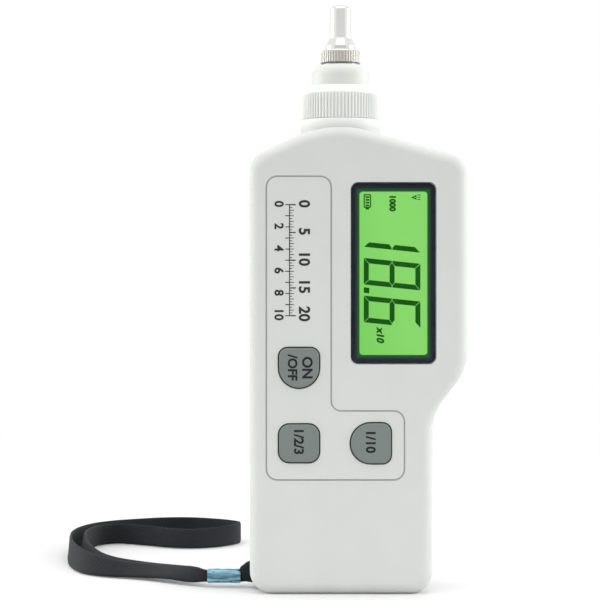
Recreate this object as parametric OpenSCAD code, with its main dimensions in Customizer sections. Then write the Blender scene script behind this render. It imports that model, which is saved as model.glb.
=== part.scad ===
// Handheld vibration meter with a probe on top and a wrist strap.
// Millimetres. The meter stands on its base: X runs across it, Y from its front
// to its back and Z up. The origin is the base's point under the probe's axis.

/* [Case] */
// Width of the handle
handle_w = 56.3; // [54:0.1:62]
// How far the head stands out past the handle
head_step = 10.7; // [8:0.1:14]
// Depth of the case from front to back
case_d = 30; // [29.5:0.1:34]
// Thickness of the shells
wall = 2.2; // [1.8:0.1:2.4]
// Radius along the front and rear edges
edge_r = 3.5; // [2.5:0.1:4]
// Radius of the two corners on the base
base_corner_r = 6.8; // [4.2:0.1:7.2]
// Height at which the handle starts to widen
step_low_z = 55.1; // [52:0.1:57]
// Height at which the head has its full width
step_high_z = 69.3; // [67:0.1:73]
// Radius of the hollow bend of the step
step_hollow_r = 13.5; // [8:0.5:15]
// Radius of the full bend of the step
step_full_r = 14.5; // [8:0.5:16]
// Height of the shoulder over the head's side
shoulder_z = 134; // [133:0.1:142]
// Radius of both shoulders
shoulder_r = 6.4; // [4.5:0.1:8]
// Rise of the case from the shoulder to the probe's axis
peak_rise = 10.7; // [9:0.1:13]
// Chamfer along the seam between the shells
seam_chamfer = 0.2; // [0.1:0.05:0.4]

/* [Neck and collar] */
// Radius of the neck
neck_r = 12.4; // [12.2:0.1:13.5]
// Radius of the flare at the foot of the neck
neck_flare = 2.3; // [1:0.1:2.4]
// Height of the neck over the case's peak
neck_h = 1.8; // [1:0.1:4]
// Radius of the spigot that the collar turns on
spigot_r = 10.4; // [10:0.1:10.6]
// Height of the spigot
spigot_h = 6.4; // [5:0.1:9]
// Radius over the collar's ribs
collar_r = 12.05; // [11.8:0.05:12.4]
// Depth of the collar's ribs
rib_depth = 0.4; // [0.2:0.05:0.6]
// Number of ribs on the collar
collar_ribs = 70; // [40:1:80]
// Height of the collar's ribbed band
ribbed_h = 8; // [7.8:0.1:11]
// Height of the sloping rim over the ribs
collar_rim_h = 2.4; // [1.5:0.1:3]

/* [Nose and probe] */
// Radius of the nose
nose_r = 9; // [8.8:0.1:9.4]
// Height of the nose over the collar's rim
nose_rise = 6.8; // [6:0.1:9]
// Radius of the sensor's can
can_r = 6; // [5.8:0.1:6.1]
// Length of the sensor's can
can_h = 15.6; // [14:0.1:18]
// Radius of the threaded bore in the can
stud_bore_r = 2.5; // [2:0.1:3]
// Radius of the knurled nut
nut_r = 6.35; // [6:0.05:6.8]
// Height of the knurled nut
nut_h = 4.4; // [3.5:0.1:6]
// Number of teeth of the knurl
nut_teeth = 44; // [30:1:60]
// Radius of the probe's shank
shank_r = 3.36; // [2.8:0.02:3.6]
// Radius of the probe's foot
foot_r = 4.7; // [4:0.1:5.4]
// Height of the probe's top over the nut
probe_h = 14.4; // [12:0.1:24]

/* [Display] */
// Width of the display's cover
cover_w = 26.1; // [25.6:0.1:27]
// Height of the display's cover
cover_h = 55.7; // [54:0.1:57]
// Thickness of the display's cover
cover_t = 1.1; // [0.8:0.05:1.3]
// Width of the dark border at each side of the lit area
border_side = 2.65; // [2.5:0.05:4]
// Width of the dark border over and under the lit area
border_end = 2.8; // [2.5:0.05:5]
// Distance of the display's middle from the head's side
display_in = 22.9; // [22.6:0.05:23.2]
// Distance of the display's middle below the shoulder
display_drop = 35.5; // [34:0.1:36]
// Thickness of the glass cell
cell_t = 1.8; // [1.2:0.1:2.2]
// Thickness of the light guide
guide_t = 2; // [1.5:0.1:2.5]

/* [Front label] */
// Distance of the label's left edge from the probe's axis
label_left = 23.1; // [22.4:0.1:24]
// Width of the label's tall part
label_tall_w = 20.05; // [19.7:0.05:20.3]
// Width of the label's foot
label_foot_w = 42.5; // [41:0.1:43.5]
// Height of the label's lower edge
label_low_z = 35.1; // [33:0.1:36.5]
// Height of the label's inner edge over the foot
label_foot_top_z = 56.4; // [55.5:0.1:58]
// Distance of the label's top below the shoulder
label_top_drop = 5.7; // [5:0.1:9]
// Radius of the label's corners
label_r = 2.4; // [1:0.1:3]
// Thickness of the label
label_t = 0.35; // [0.2:0.05:0.5]

/* [Keys] */
// Width of a key
key_w = 12.3; // [12.3:0.1:13]
// Height of the measuring key
meas_key_h = 12.2; // [11.8:0.1:13.2]
// Height of the mode key
mode_key_h = 11.6; // [11:0.1:13]
// Height of the range key
range_key_h = 12.3; // [12.3:0.1:13]
// How far the keys stand proud of the case
key_proud = 0.8; // [0.6:0.1:1.5]
// Travel of a key
key_travel = 0.5; // [0.2:0.05:0.6]
// Height of the middle of the measuring key
meas_key_z = 69.5; // [69:0.1:71]
// Height of the middle of the two lower keys
lower_key_z = 46.4; // [45.5:0.1:46.8]
// Distance of the left keys from the probe's axis
left_key_x = 13; // [12.8:0.1:13.4]
// Distance of the range key from the probe's axis
range_key_x = 9; // [8:0.1:9.2]

/* [Battery] */
// Width of the battery
battery_w = 26.5; // [25:0.1:27]
// Gap behind the battery
battery_back_gap = 0.4; // [0.3:0.05:1]
// Height of the battery's body
battery_h = 46.4; // [44:0.1:47]
// Width of the battery door
door_w = 32; // [31.6:0.1:33]
// Height of the battery door's top edge
door_top_z = 60.3; // [59.8:0.1:62]

/* [Strap] */
// Width of the webbing
webbing_w = 7.4; // [5:0.1:7.6]
// Thickness of the webbing
webbing_t = 1; // [0.6:0.05:1.2]
// Radius of the sleeve that gathers the strap
sleeve_r = 2.4; // [2.2:0.1:2.8]
// Length of the sleeve
sleeve_len = 10.4; // [8:0.1:10.6]
// Radius of the pin that holds the strap
pin_r = 1; // [0.7:0.05:1.2]

/* [Hidden] */

$fn = 64;
// Overrun of every cut past the face that it opens
over = 1;
// Gap round a piece that is dropped into its seat
seat_gap = 0.15;
// Gap between parts that lie on each other
lay_gap = 0.05;
// Radial gap of a turning fit
turn_gap = 0.1;
// Number of facets of a rounded corner, and of a rounded edge
corner_steps = 6;
edge_steps = 5;

// Colours of the pieces
case_colour = "#d4d8d4";
collar_colour = "#e6e9e6";
key_colour = "#828a87";
steel_colour = "#b9bcc0";
chrome_colour = "#d9dce0";
nickel_colour = "#bdb3a0";
black_colour = "#33343c";
board_colour = "#1f6b43";
brass_colour = "#c8a457";
foam_colour = "#4a4c50";
webbing_colour = "#303336";

// Case: half widths, planes and heights
half_w = handle_w / 2;
head_x = half_w + head_step;
front_y = -case_d / 2;
rear_y = case_d / 2;
inner_front_y = front_y + wall;
inner_rear_y = rear_y - wall;
peak_z = shoulder_z + peak_rise;
// The left slope is steeper: where it starts, how far left of the axis it bends
// and how far it has dropped there
left_rise = 0.2;
left_bend_x = 12.3;
left_bend_drop = 3.2;
peak_r = 25;
left_bend_r = 15;
case_corners = [
    [-half_w, 0, base_corner_r],
    [half_w, 0, base_corner_r],
    [half_w, step_low_z, step_hollow_r],
    [head_x, step_high_z, step_full_r],
    [head_x, shoulder_z, shoulder_r],
    [0, peak_z, peak_r],
    [-left_bend_x, peak_z - left_bend_drop, left_bend_r],
    [-half_w, shoulder_z + left_rise, shoulder_r]];
case_path = rounded_path(case_corners, corner_steps);
// A point from which the case's whole outline is in sight
case_eye = [0, (step_high_z + shoulder_z) / 2];

// Neck, spigot and what is stacked on them
neck_top_z = peak_z + neck_h;
neck_foot_z = shoulder_z + wall / 2;
flare_top_z = peak_z - neck_h;
spigot_top_z = neck_top_z + spigot_h;
spigot_wall = 1.8;
neck_bore_r = spigot_r - spigot_wall;
collar_low_z = neck_top_z + seat_gap;
ribs_top_z = collar_low_z + ribbed_h;
collar_top_z = ribs_top_z + collar_rim_h;
nose_flange_t = 1;
nose_flange_top_z = spigot_top_z + nose_flange_t;
washer_t = 0.4;
collar_seat_z = nose_flange_top_z + washer_t + 2 * lay_gap;
collar_bore_r = spigot_r + turn_gap;
collar_lip_r = nose_r + turn_gap;
collar_rim_r = nose_r + 0.1 * nose_r;

// Nose, sensor and probe
nose_top_z = collar_top_z + nose_rise;
nose_bore_gap = 0.4;
nose_bore_r = can_r + nose_bore_gap;
nose_top_r = nose_bore_r + turn_gap + seat_gap;
can_top_z = nose_top_z - 2 * turn_gap;
can_low_z = can_top_z - can_h;
can_wall = 1;
stud_bore_depth = 5;
can_web_t = 1.5;
can_room_top_z = can_top_z - stud_bore_depth - can_web_t;
lid_t = 1.2;
piezo_r = 3.5;
piezo_t = 0.8;
mass_r = 4.2;
mass_h = 3.6;
isolator_low_z = spigot_top_z;
isolator_h = nose_top_z - isolator_low_z - 2 * can_web_t;
probe_washer_r = can_r - 2 * turn_gap;
nut_low_z = can_top_z + washer_t + 2 * lay_gap;
nut_top_z = nut_low_z + nut_h;
knurl_depth = 0.25;
nut_chamfer = 0.5;
// Where a tooth's root and top start and end, as shares of its step round the
// ring and of its depth
tooth_shares = [[0.06, 0], [0.3, 1], [0.56, 1], [0.8, 0]];
foot_h = 1.5;
foot_cone_h = 2.4;
tip_rise = 1.7;
probe_top_z = nut_top_z + probe_h;
stud_r = stud_bore_r - lay_gap;
stud_len = nut_low_z - can_top_z + stud_bore_depth - 2 * turn_gap;

// Depth of the display and the board, from the front wall inwards
cover_set = 0.1;
mask_t = 0.1;
cover_y = front_y + cover_set;
mask_y = cover_y + cover_t;
cover_floor_y = mask_y + mask_t + lay_gap;
cover_r = 2.3;
display_x = head_x - display_in;
display_z = shoulder_z - display_drop;
lit_w = cover_w - 2 * border_side;
lit_h = cover_h - 2 * border_end;
lit_margin = 1;
window_w = lit_w + 2 * lit_margin;
window_h = lit_h + 2 * lit_margin;
cell_w = window_w + 2 * lit_margin;
cell_h = window_h + 2 * lit_margin;
cell_y = inner_front_y + 2 * lay_gap;
guide_y = cell_y + cell_t + 2 * lay_gap;
board_y = guide_y + guide_t + 4 * lay_gap;
board_t = 1.6;
board_back_y = board_y + board_t;
frame_w = cell_w + 3.2 * lit_margin;
frame_h = cell_h + 3.2 * lit_margin;
strip_t = 2.4;
guide_h = cell_h - 2 * strip_t - 6 * lit_margin;
guide_w = cell_w - lit_margin;
strip_z = (cell_h - strip_t) / 2 - lit_margin;
led_w = 3;
led_h = 1.4;
led_x = guide_w / 4;

// Digits of the display, upright on a lying panel: the digits read down the
// panel, so their tops point to the right
digit_h = 17.4;
digit_w = 8.2;
digit_pitch = 11.6;
segment_t = 1.55;
segment_gap = 0.12;
digit_slant = 6;
digit_t = 0.04;
digits_x = display_x - 0.435 * lit_w;
digits_z = display_z + 0.245 * lit_h;
point_w = 1.7;
// Segments a to g of each digit that is shown
digit_segments = [[0, 1, 1, 0, 0, 0, 0], [1, 1, 1, 1, 1, 1, 1], [1, 0, 1, 1, 1, 1, 1]];

// Front label
label_top_z = shoulder_z - label_top_drop;
label_path = rounded_path([
    [-label_left, label_low_z, label_r],
    [label_foot_w - label_left, label_low_z, label_r],
    [label_foot_w - label_left, label_foot_top_z, label_r],
    [label_tall_w - label_left, label_foot_top_z, label_r],
    [label_tall_w - label_left, label_top_z, label_r],
    [-label_left, label_top_z, label_r]], corner_steps);
label_recess_t = label_t - lay_gap;

// Keys: each key's middle, its size and its four corner radii, lower left first
key_small_r = 2.6;
key_round_r = 6.1;
key_even_r = 3.2;
meas_place = [-left_key_x, meas_key_z];
mode_place = [-left_key_x, lower_key_z];
range_place = [range_key_x, lower_key_z];
meas_path = key_outline(meas_place, key_w, meas_key_h,
    [key_round_r, key_round_r, key_small_r, key_small_r]);
mode_path = key_outline(mode_place, key_w, mode_key_h,
    [key_even_r, key_even_r, key_even_r, key_even_r]);
range_path = key_outline(range_place, key_w, range_key_h,
    [key_round_r, key_small_r, key_small_r, key_round_r]);
key_places = [meas_place, mode_place, range_place];
key_front_y = front_y - key_proud;
key_edge_r = 0.45;
flange_rim = 0.9;
flange_t = 0.6;
flange_y = inner_front_y + lay_gap;
switch_w = 6;
switch_h = 2.7;
switch_y = board_y - switch_h;
switch_hole_depth = 1.7;
plunger_r = 1.75;
plunger_y = flange_y + flange_t;
plunger_len = switch_y + switch_hole_depth - key_travel - 2 * turn_gap - plunger_y;

// Screws that hold the shells, and those that hold the board
low_screw_in = 6.6;
low_screw_z = 16;
top_screw_drop = 4.4;
right_screw_in = 5.45;
left_screw_in = 6.1;
case_screw_low = [half_w - low_screw_in, low_screw_z];
case_screw_top_z = shoulder_z - top_screw_drop;
case_screw_right_x = head_x - right_screw_in;
case_screw_left_x = half_w - left_screw_in;
case_screw_places = [
    [-case_screw_low[0], case_screw_low[1]],
    [case_screw_low[0], case_screw_low[1]],
    [-case_screw_left_x, case_screw_top_z],
    [case_screw_right_x, case_screw_top_z]];
screw_r = 1.1;
screw_head_r = 2;
screw_head_t = 1.4;
boss_r = 2.6;
column_r = 2.9;
screw_seat_y = 4;
screw_len = 11;
thread_gap = 0.05;
board_screw_r = 0.9;
board_screw_head_r = 1.7;
board_screw_head_t = 1.1;
board_screw_len = 5;
post_r = 2;
board_edge_gap = 1.3;
board_half_w = half_w - wall - board_edge_gap;
board_head_x = head_x - wall - board_edge_gap;
board_foot = 2;
board_top_gap = 0.65;
board_low_z = label_low_z - board_foot;
board_top_z = case_screw_top_z - boss_r - board_top_gap;
board_slope_gap = 1.4;
board_points = [
    [-board_half_w, board_low_z],
    [board_half_w, board_low_z],
    [board_half_w, step_low_z + board_slope_gap],
    [board_head_x, step_high_z + board_slope_gap],
    [board_head_x, board_top_z],
    [-board_half_w, board_top_z]];
post_inset = 3;
board_screw_places = [
    [-board_half_w + post_inset, (meas_key_z + lower_key_z) / 2],
    [board_half_w - post_inset, board_low_z + post_inset],
    [-board_half_w + post_inset, board_top_z - post_inset],
    [board_head_x - 0.7 * post_inset, step_high_z + 2 * post_inset]];

// Battery bay and its door
bay_gap = 0.6;
bay_floor_t = 1.2;
bay_side_t = 1.6;
bay_y = board_back_y + bay_gap;
bay_inner_y = bay_y + bay_floor_t;
battery_play = 0.75;
bay_half_w = battery_w / 2 + battery_play;
bay_low_z = wall + seat_gap;
bay_inner_low_z = bay_low_z + bay_floor_t;
pad_t = 2;
battery_y = bay_inner_y + 2 * lay_gap;
battery_d = inner_rear_y - battery_back_gap - battery_y;
battery_z = bay_inner_low_z + pad_t + 2 * lay_gap;
battery_top_z = battery_z + battery_h;
battery_corner_r = 2;
terminal_h = 2.1;
terminal_x = 6.3;
terminal_small_r = 2.9;
terminal_large_r = 3.9;
terminal_sides = 6;
snap_w = 25;
snap_d = 12;
snap_h = 3.8;
snap_z = battery_top_z + 2 * lay_gap;
snap_y = battery_y + battery_d / 2;
bay_inner_top_z = snap_z + snap_h + 4 * seat_gap;
bay_top_z = bay_inner_top_z + bay_floor_t;
door_gap = 0.15;
door_half_w = door_w / 2;
door_inner_y = inner_rear_y + door_gap;
door_low_z = 0.4;
flange_out = 1.5;
rail_lip_t = 1.6;
groove_y = inner_rear_y - 1.2;
rail_y = groove_y - rail_lip_t;
groove_half_w = door_half_w + flange_out + 2 * turn_gap;
door_flange_in = bay_half_w + 2 * seat_gap;
grip_lines = 6;
grip_pitch = 2.2;
grip_w = 1.1;
grip_depth = 0.5;
grip_len = 18;
grip_drop = 8;
grip_z = door_top_z - grip_drop;
lead_x = 4;
lead_r = 0.7;
lead_hole_r = 1.4;
lead_y = 1.5;
lead_pad_rise = 7;
lead_pad_z = bay_top_z + lead_pad_rise;
lead_pad_t = 0.4;

// Parts on the board
chip_w = 12;
chip_t = 1.5;
chip_x = -6;
chip_z = display_z - 0.1 * lit_h;
pin_len = 1.2;
pin_w = 0.4;
pin_pitch = 1.25;
chip_pins = 8;
amp_w = 5;
amp_h = 6;
amp_drop = 14;
amp_z = board_top_z - amp_drop;
amp_inset = 10.65;
amp_x = board_half_w - amp_inset;
amp_pitch = 10;
crystal_w = 11;
crystal_d = 3.6;
crystal_h = 4.6;
crystal_x = -6;
crystal_drop = 14;
crystal_z = chip_z - crystal_drop;
can_cap_r = 2.6;
can_cap_h = 5.4;
cap_inset = 4.65;
cap_x = board_half_w - cap_inset;
cap_drop = 8;
cap_z = chip_z - cap_drop;
cap_pitch = 8;
cap_count = 3;
resistor_w = 2;
resistor_h = 1.2;
resistor_t = 0.55;
resistor_count = 8;
resistor_pitch = 3;
resistor_inset = 16.65;
resistor_x = board_half_w - resistor_inset;
resistor_rise = 12;
resistor_z = chip_z + resistor_rise;
socket_w = 6;
socket_h = 5;
socket_t = 4;
socket_x = -4;
socket_drop = 7;
socket_z = board_top_z - socket_drop;
cable_r = 0.9;
cable_y = board_back_y + socket_t / 2;

// Strap pocket in the left side of the base
pocket_low_z = 1.5;
pocket_gap = 0.3;
pocket_h = webbing_w;
pocket_top_z = pocket_low_z + pocket_h;
eye_r = pin_r + turn_gap + webbing_t;
pocket_half_d = eye_r + 2 * pocket_gap;
pin_inset = 3.4;
pin_x = -half_w + eye_r + pin_inset;
pocket_x = pin_x + eye_r + 2 * pocket_gap;
pocket_wall = 1.4;
pin_bite = 0.8;
eye_low_z = pocket_low_z + pocket_gap;
eye_h = pocket_h - 2 * pocket_gap;
sleeve_out = 3.25;
sleeve_x = -half_w - sleeve_out;
sleeve_end_x = sleeve_x - sleeve_len;
sleeve_y = 1.2;
sleeve_z = 3.5;
// The tail from the eye to the sleeve: x, y and z of its middle, then its
// height and thickness as shares of the webbing's
tail_route = [
    [pin_x - pin_r, 0, eye_low_z + eye_h / 2],
    [-half_w - 0.2 * (-half_w - sleeve_x), 0.1 * sleeve_y, eye_low_z + 0.48 * eye_h],
    [-half_w - 0.6 * (-half_w - sleeve_x), 0.6 * sleeve_y, 0.5 * (sleeve_z + eye_low_z + eye_h / 2)],
    [sleeve_x, sleeve_y, sleeve_z]];
tail_height_shares = [0.92, 0.9, 0.7, 0.54];
tail_thick_shares = [1.6, 1.8, 2.2, 2.4];
// The free loop, from the sleeve round and back: x, y and z of the webbing's
// middle, its lean in degrees and its height as a share of its width
loop_route = [
    [-42.2, 0.5, 3.5, 0, 0.54], [-46.5, 3.8, 3.5, -25, 0.68], [-52, 9.5, 3.3, -56, 0.85],
    [-59, 16, 2.8, -64, 1], [-67, 20.5, 2.6, -60, 1], [-74.5, 23.5, 2.8, -52, 1],
    [-81.2, 28.5, 3.2, -40, 1], [-86, 37, 3.5, -27, 1], [-90.4, 51, 3.8, -14, 1],
    [-93, 67, 3.9, -6, 1], [-94, 82, 3.9, 0, 1], [-93, 95.5, 3.9, 0, 1],
    [-89.3, 107.5, 3.9, 0, 1], [-83, 116, 3.9, 0, 1], [-74, 122, 3.9, 0, 1],
    [-64.5, 126.5, 3.9, 0, 1], [-54.5, 127, 3.9, 0, 1], [-45.5, 123, 3.9, 0, 1],
    [-38.5, 117.5, 3.9, 0, 1], [-35.2, 111.5, 3.9, 0, 1], [-37.5, 103.5, 3.9, -8, 1],
    [-44, 97, 3.7, -22, 1], [-51.5, 94, 3.6, -30, 1], [-59, 95.5, 3.6, -30, 1],
    [-67, 100.5, 3.7, -24, 1], [-74.5, 105, 3.8, -12, 1], [-81.5, 106, 3.9, -4, 1],
    [-86.5, 101, 3.9, 0, 1], [-88.8, 92, 3.9, 0, 1], [-89.5, 80, 3.9, 6, 1],
    [-88.5, 66, 3.6, 24, 1], [-86, 53.5, 3.2, 42, 1], [-82, 43, 2.8, 54, 1],
    [-76.5, 35, 2.55, 60, 1], [-70, 29.5, 2.4, 63, 1], [-63, 24.5, 2.3, 65, 1],
    [-56.5, 18.5, 2.5, 62, 0.96], [-50.5, 12, 2.9, 55, 0.85], [-46, 6, 3.2, 34, 0.68],
    [-42.2, 1.9, 3.5, 0, 0.54]];
// Corner of the webbing's section as a share of its thickness
webbing_corner_share = 0.3;

// The direction of a vector
function unit(v) = v / norm(v);

// The normal that points into a path on its way from a to b
function inward(a, b) = let (u = unit(b - a)) [-u[1], u[0]];

// The signed angle from one direction to another
function turn_between(a, b) = atan2(a[0] * b[1] - a[1] * b[0], a * b);

// A closed path through corners [x, z, radius], counterclockwise: a list of
// points, each with its inward normal
function rounded_path(corners, steps) = [
    for (i = [0 : len(corners) - 1])
        let (
            count = len(corners),
            before = corners[(i + count - 1) % count],
            here = corners[i],
            after = corners[(i + 1) % count],
            p = [here[0], here[1]],
            n_in = inward([before[0], before[1]], p),
            n_out = inward(p, [after[0], after[1]]),
            turn = turn_between(n_in, n_out),
            bend = turn < 0 ? -here[2] : here[2],
            middle = p + bend * (n_in + n_out) / (1 + n_in * n_out),
            start = atan2(n_in[1], n_in[0]))
        for (k = [0 : steps])
            let (a = start + turn * k / steps, n = [cos(a), sin(a)])
            [middle - bend * n, n]];

// The path drawn in by a distance
function inset(path, distance) = [for (q = path) q[0] + distance * q[1]];

// The outline of a key about its middle, with its corner radii from the lower
// left, counterclockwise
function key_outline(place, w, h, radii) = rounded_path([
    [place[0] - w / 2, place[1] - h / 2, radii[0]],
    [place[0] + w / 2, place[1] - h / 2, radii[1]],
    [place[0] + w / 2, place[1] + h / 2, radii[2]],
    [place[0] - w / 2, place[1] + h / 2, radii[3]]], corner_steps);

// The path of a rounded rectangle about a place
function box_path(place, w, h, r) = key_outline(place, w, h, [r, r, r, r]);

// Levels [y, inset] that round an edge off towards the front
function edge_levels(y, r) = [
    for (k = [0 : edge_steps])
        let (t = 90 * k / edge_steps)
        [y + r * (1 - sin(t)), r * (1 - cos(t))]];

// A smooth step along a route, from point i to the next, at share t of the way
function along(route, i, t) =
    let (
        last = len(route) - 1,
        a = route[max(i - 1, 0)],
        b = route[i],
        c = route[min(i + 1, last)],
        d = route[min(i + 2, last)])
    0.5 * (2 * b + (c - a) * t + (2 * a - 5 * b + 4 * c - d) * t * t
        + (3 * b - a - 3 * c + d) * t * t * t);

// A route with extra points between its own
function smooth_route(route, steps) = concat(
    [for (i = [0 : len(route) - 2], k = [0 : steps - 1]) along(route, i, k / steps)],
    [route[len(route) - 1]]);

// The direction of a route at one of its points
function heading(route, i) = unit(
    place_of(route[min(i + 1, len(route) - 1)]) - place_of(route[max(i - 1, 0)]));

function place_of(p) = [p[0], p[1], p[2]];

// Rings of a round tube along a route, with eight sides
function tube_rings(route, r, side) = [
    for (i = [0 : len(route) - 1])
        let (
            t = heading(route, i),
            n = unit(cross(side, t)),
            b = cross(t, n))
        [for (k = [0 : 7]) place_of(route[i]) + r * (cos(45 * k) * n + sin(45 * k) * b)]];

// Rings of flat webbing along a route: t is its heading, u runs up its width
// and n across its thickness
function webbing_rings(route, leans, heights, thicks) = [
    for (i = [0 : len(route) - 1])
        let (
            t = heading(route, i),
            level = unit(cross([0, 0, 1], t)),
            rise = cross(t, level),
            u = cos(leans[i]) * rise + sin(leans[i]) * level,
            n = cross(u, t),
            h = heights[i] / 2,
            w = thicks[i] / 2,
            c = webbing_corner_share * thicks[i])
        [for (q = [[w, c - h], [w, h - c], [w - c, h], [c - w, h],
                   [-w, h - c], [-w, c - h], [c - w, -h], [w - c, -h]])
            place_of(route[i]) + q[0] * n + q[1] * u]];

// A closed solid through rings of points, each counterclockwise about the way
// that the rings go, with a fan of triangles at each end
module loft(rings, first_tip, last_tip) {
    m = len(rings[0]);
    n = len(rings);
    polyhedron(
        points = concat([for (ring = rings) each ring], [first_tip, last_tip]),
        faces = concat(
            [for (i = [0 : m - 1]) [n * m, i, (i + 1) % m]],
            [for (j = [0 : n - 2], i = [0 : m - 1]) let (k = (i + 1) % m)
                each [[j * m + i, j * m + m + i, j * m + m + k], [j * m + i, j * m + m + k, j * m + k]]],
            [for (i = [0 : m - 1]) [n * m + 1, n * m - m + (i + 1) % m, n * m - m + i]]));
}

// A solid with the path's outline at each level [y, inset], from the rear to
// the front, closed about a point that sees the whole outline
module stacked(path, levels, eye) {
    loft([for (level = levels) [for (q = inset(path, level[1])) [q[0], level[0], q[1]]]],
        [eye[0], levels[0][0], eye[1]],
        [eye[0], levels[len(levels) - 1][0], eye[1]]);
}

// A flat slab whose outline is its 2D child, from y on towards the rear
module slab(y, t) {
    translate([0, y + t, 0])
        rotate([90, 0, 0])
            linear_extrude(height = t)
                children();
}

// A slab with the path's outline, drawn in by a distance
module path_slab(path, distance, y, t) {
    slab(y, t)
        polygon(inset(path, distance));
}

// A cylinder along Y, from y on towards the rear
module rod(place, r, y, len) {
    translate([place[0], y, place[1]])
        rotate([-90, 0, 0])
            cylinder(r = r, h = len);
}

// A box between two corners
module block(low, high) {
    translate(low)
        cube(high - low);
}

// A tube along a route
module tube(route, r, side) {
    rings = tube_rings(route, r, side);
    loft(rings, place_of(route[0]), place_of(route[len(route) - 1]));
}

// The outer form of the front half of the case, without its neck
module case_half() {
    stacked(case_path,
        concat([[0, seam_chamfer], [-seam_chamfer, 0]], edge_levels(front_y, edge_r)),
        case_eye);
}

// The rear half of the neck and the spigot: a solid turned about the probe's axis
module neck_half() {
    flare = [for (k = [0 : edge_steps])
        let (t = 90 * k / edge_steps)
        [neck_r + neck_flare * (1 - cos(t)), flare_top_z - neck_flare * sin(t)]];
    rotate_extrude(angle = 180)
        polygon(concat(
            [[neck_bore_r, neck_foot_z], [neck_r + neck_flare, neck_foot_z]],
            [for (k = [edge_steps : -1 : 0]) flare[k]],
            [[neck_r, neck_top_z - seam_chamfer], [neck_r - seam_chamfer, neck_top_z],
             [spigot_r, neck_top_z], [spigot_r, spigot_top_z], [neck_bore_r, spigot_top_z]]));
}

// The room inside a shell, from the plane y on, with the neck's bore
module case_room(y, t) {
    path_slab(case_path, wall, y, t);
    translate([0, 0, neck_foot_z])
        cylinder(r = neck_bore_r, h = spigot_top_z - neck_foot_z + over);
}

// The walls round the strap's pocket, between two planes
module pocket_walls(y, t) {
    intersection() {
        block([-half_w, y, 0],
            [pocket_x + pocket_wall, y + t, pocket_top_z + pocket_wall]);
        path_slab(case_path, wall / 2, y, t);
    }
}

// The strap's pocket and the holes of its pin
module pocket_room() {
    block([-half_w - over, -pocket_half_d, pocket_low_z], [pocket_x, pocket_half_d, pocket_top_z]);
    translate([pin_x, 0, pocket_low_z - pin_bite])
        cylinder(r = pin_r + lay_gap, h = pocket_h + 2 * pin_bite);
}

// A screw along Y with a cross recess, its head's underside on the plane y
module screw(place, r, head_r, head_t, y, len) {
    slot_w = head_r / 4;
    slot_r = 0.6 * head_r;
    difference() {
        union() {
            rod(place, r, y - len, len);
            rod(place, head_r, y, head_t);
        }
        translate([place[0], y + head_t, place[1]])
            for (a = [45, 135])
                rotate([0, a, 0])
                    cube([2 * slot_r, head_t, slot_w], center = true);
    }
}

module front_shell() {
    color(case_colour)
        difference() {
            union() {
                difference() {
                    union() {
                        case_half();
                        rotate([0, 0, 180])
                            neck_half();
                    }
                    case_room(inner_front_y, wall - front_y);
                }
                for (p = case_screw_places)
                    rod(p, boss_r, inner_front_y - wall / 2, wall / 2 - inner_front_y);
                for (p = board_screw_places)
                    rod(p, post_r, inner_front_y - wall / 2, board_y - inner_front_y + wall / 2);
                pocket_walls(-pocket_half_d - pocket_wall, pocket_half_d + pocket_wall);
            }
            path_slab(box_path([display_x, display_z], cover_w, cover_h, cover_r),
                -seat_gap, front_y - over, cover_floor_y - front_y + over);
            path_slab(box_path([display_x, display_z], window_w, window_h, lit_margin),
                0, front_y - over, wall + 2 * over);
            path_slab(label_path, -seat_gap, front_y - over, label_recess_t + over);
            for (path = [meas_path, mode_path, range_path])
                path_slab(path, -seat_gap, front_y - over, wall + 2 * over);
            for (p = case_screw_places)
                rod(p, screw_r + thread_gap, screw_seat_y - screw_len - over, screw_len);
            for (p = board_screw_places)
                rod(p, board_screw_r + thread_gap, inner_front_y - over / 2, board_screw_len);
            pocket_room();
        }
}

module rear_shell() {
    bay_out = bay_half_w + bay_side_t;
    color(case_colour)
        difference() {
            union() {
                difference() {
                    union() {
                        mirror([0, 1, 0])
                            case_half();
                        neck_half();
                    }
                    case_room(-over, inner_rear_y + over);
                }
                for (p = case_screw_places)
                    rod(p, column_r, 0, inner_rear_y + wall / 2);
                block([-bay_out, bay_y, bay_low_z], [bay_out, inner_rear_y + wall / 2, bay_top_z]);
                block([-bay_out, seat_gap, wall / 2], [bay_out, inner_rear_y, bay_inner_low_z]);
                for (s = [-1, 1])
                    translate([s * (bay_half_w + (groove_half_w + rail_lip_t - bay_half_w) / 2), 0, 0])
                        block([-(groove_half_w + rail_lip_t - bay_half_w) / 2, rail_y, wall / 2],
                            [(groove_half_w + rail_lip_t - bay_half_w) / 2, inner_rear_y + wall / 2,
                             door_top_z + rail_lip_t]);
                pocket_walls(0, pocket_half_d + pocket_wall);
            }
            block([-bay_half_w, bay_inner_y, bay_inner_low_z],
                [bay_half_w, inner_rear_y + over, bay_inner_top_z]);
            block([-door_half_w - door_gap, inner_rear_y, -over],
                [door_half_w + door_gap, rear_y + over, door_top_z + door_gap]);
            block([-groove_half_w, groove_y, -over], [-bay_half_w, inner_rear_y, door_top_z + door_gap]);
            block([bay_half_w, groove_y, -over], [groove_half_w, inner_rear_y, door_top_z + door_gap]);
            for (p = case_screw_places) {
                rod(p, screw_r + turn_gap, -over, rear_y + 2 * over);
                rod(p, screw_head_r + seat_gap, screw_seat_y, rear_y - screw_seat_y + over);
            }
            for (s = [-1, 1])
                translate([s * lead_x, lead_y, bay_inner_top_z - over])
                    cylinder(r = lead_hole_r, h = bay_floor_t + 2 * over);
            pocket_room();
        }
}

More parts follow.
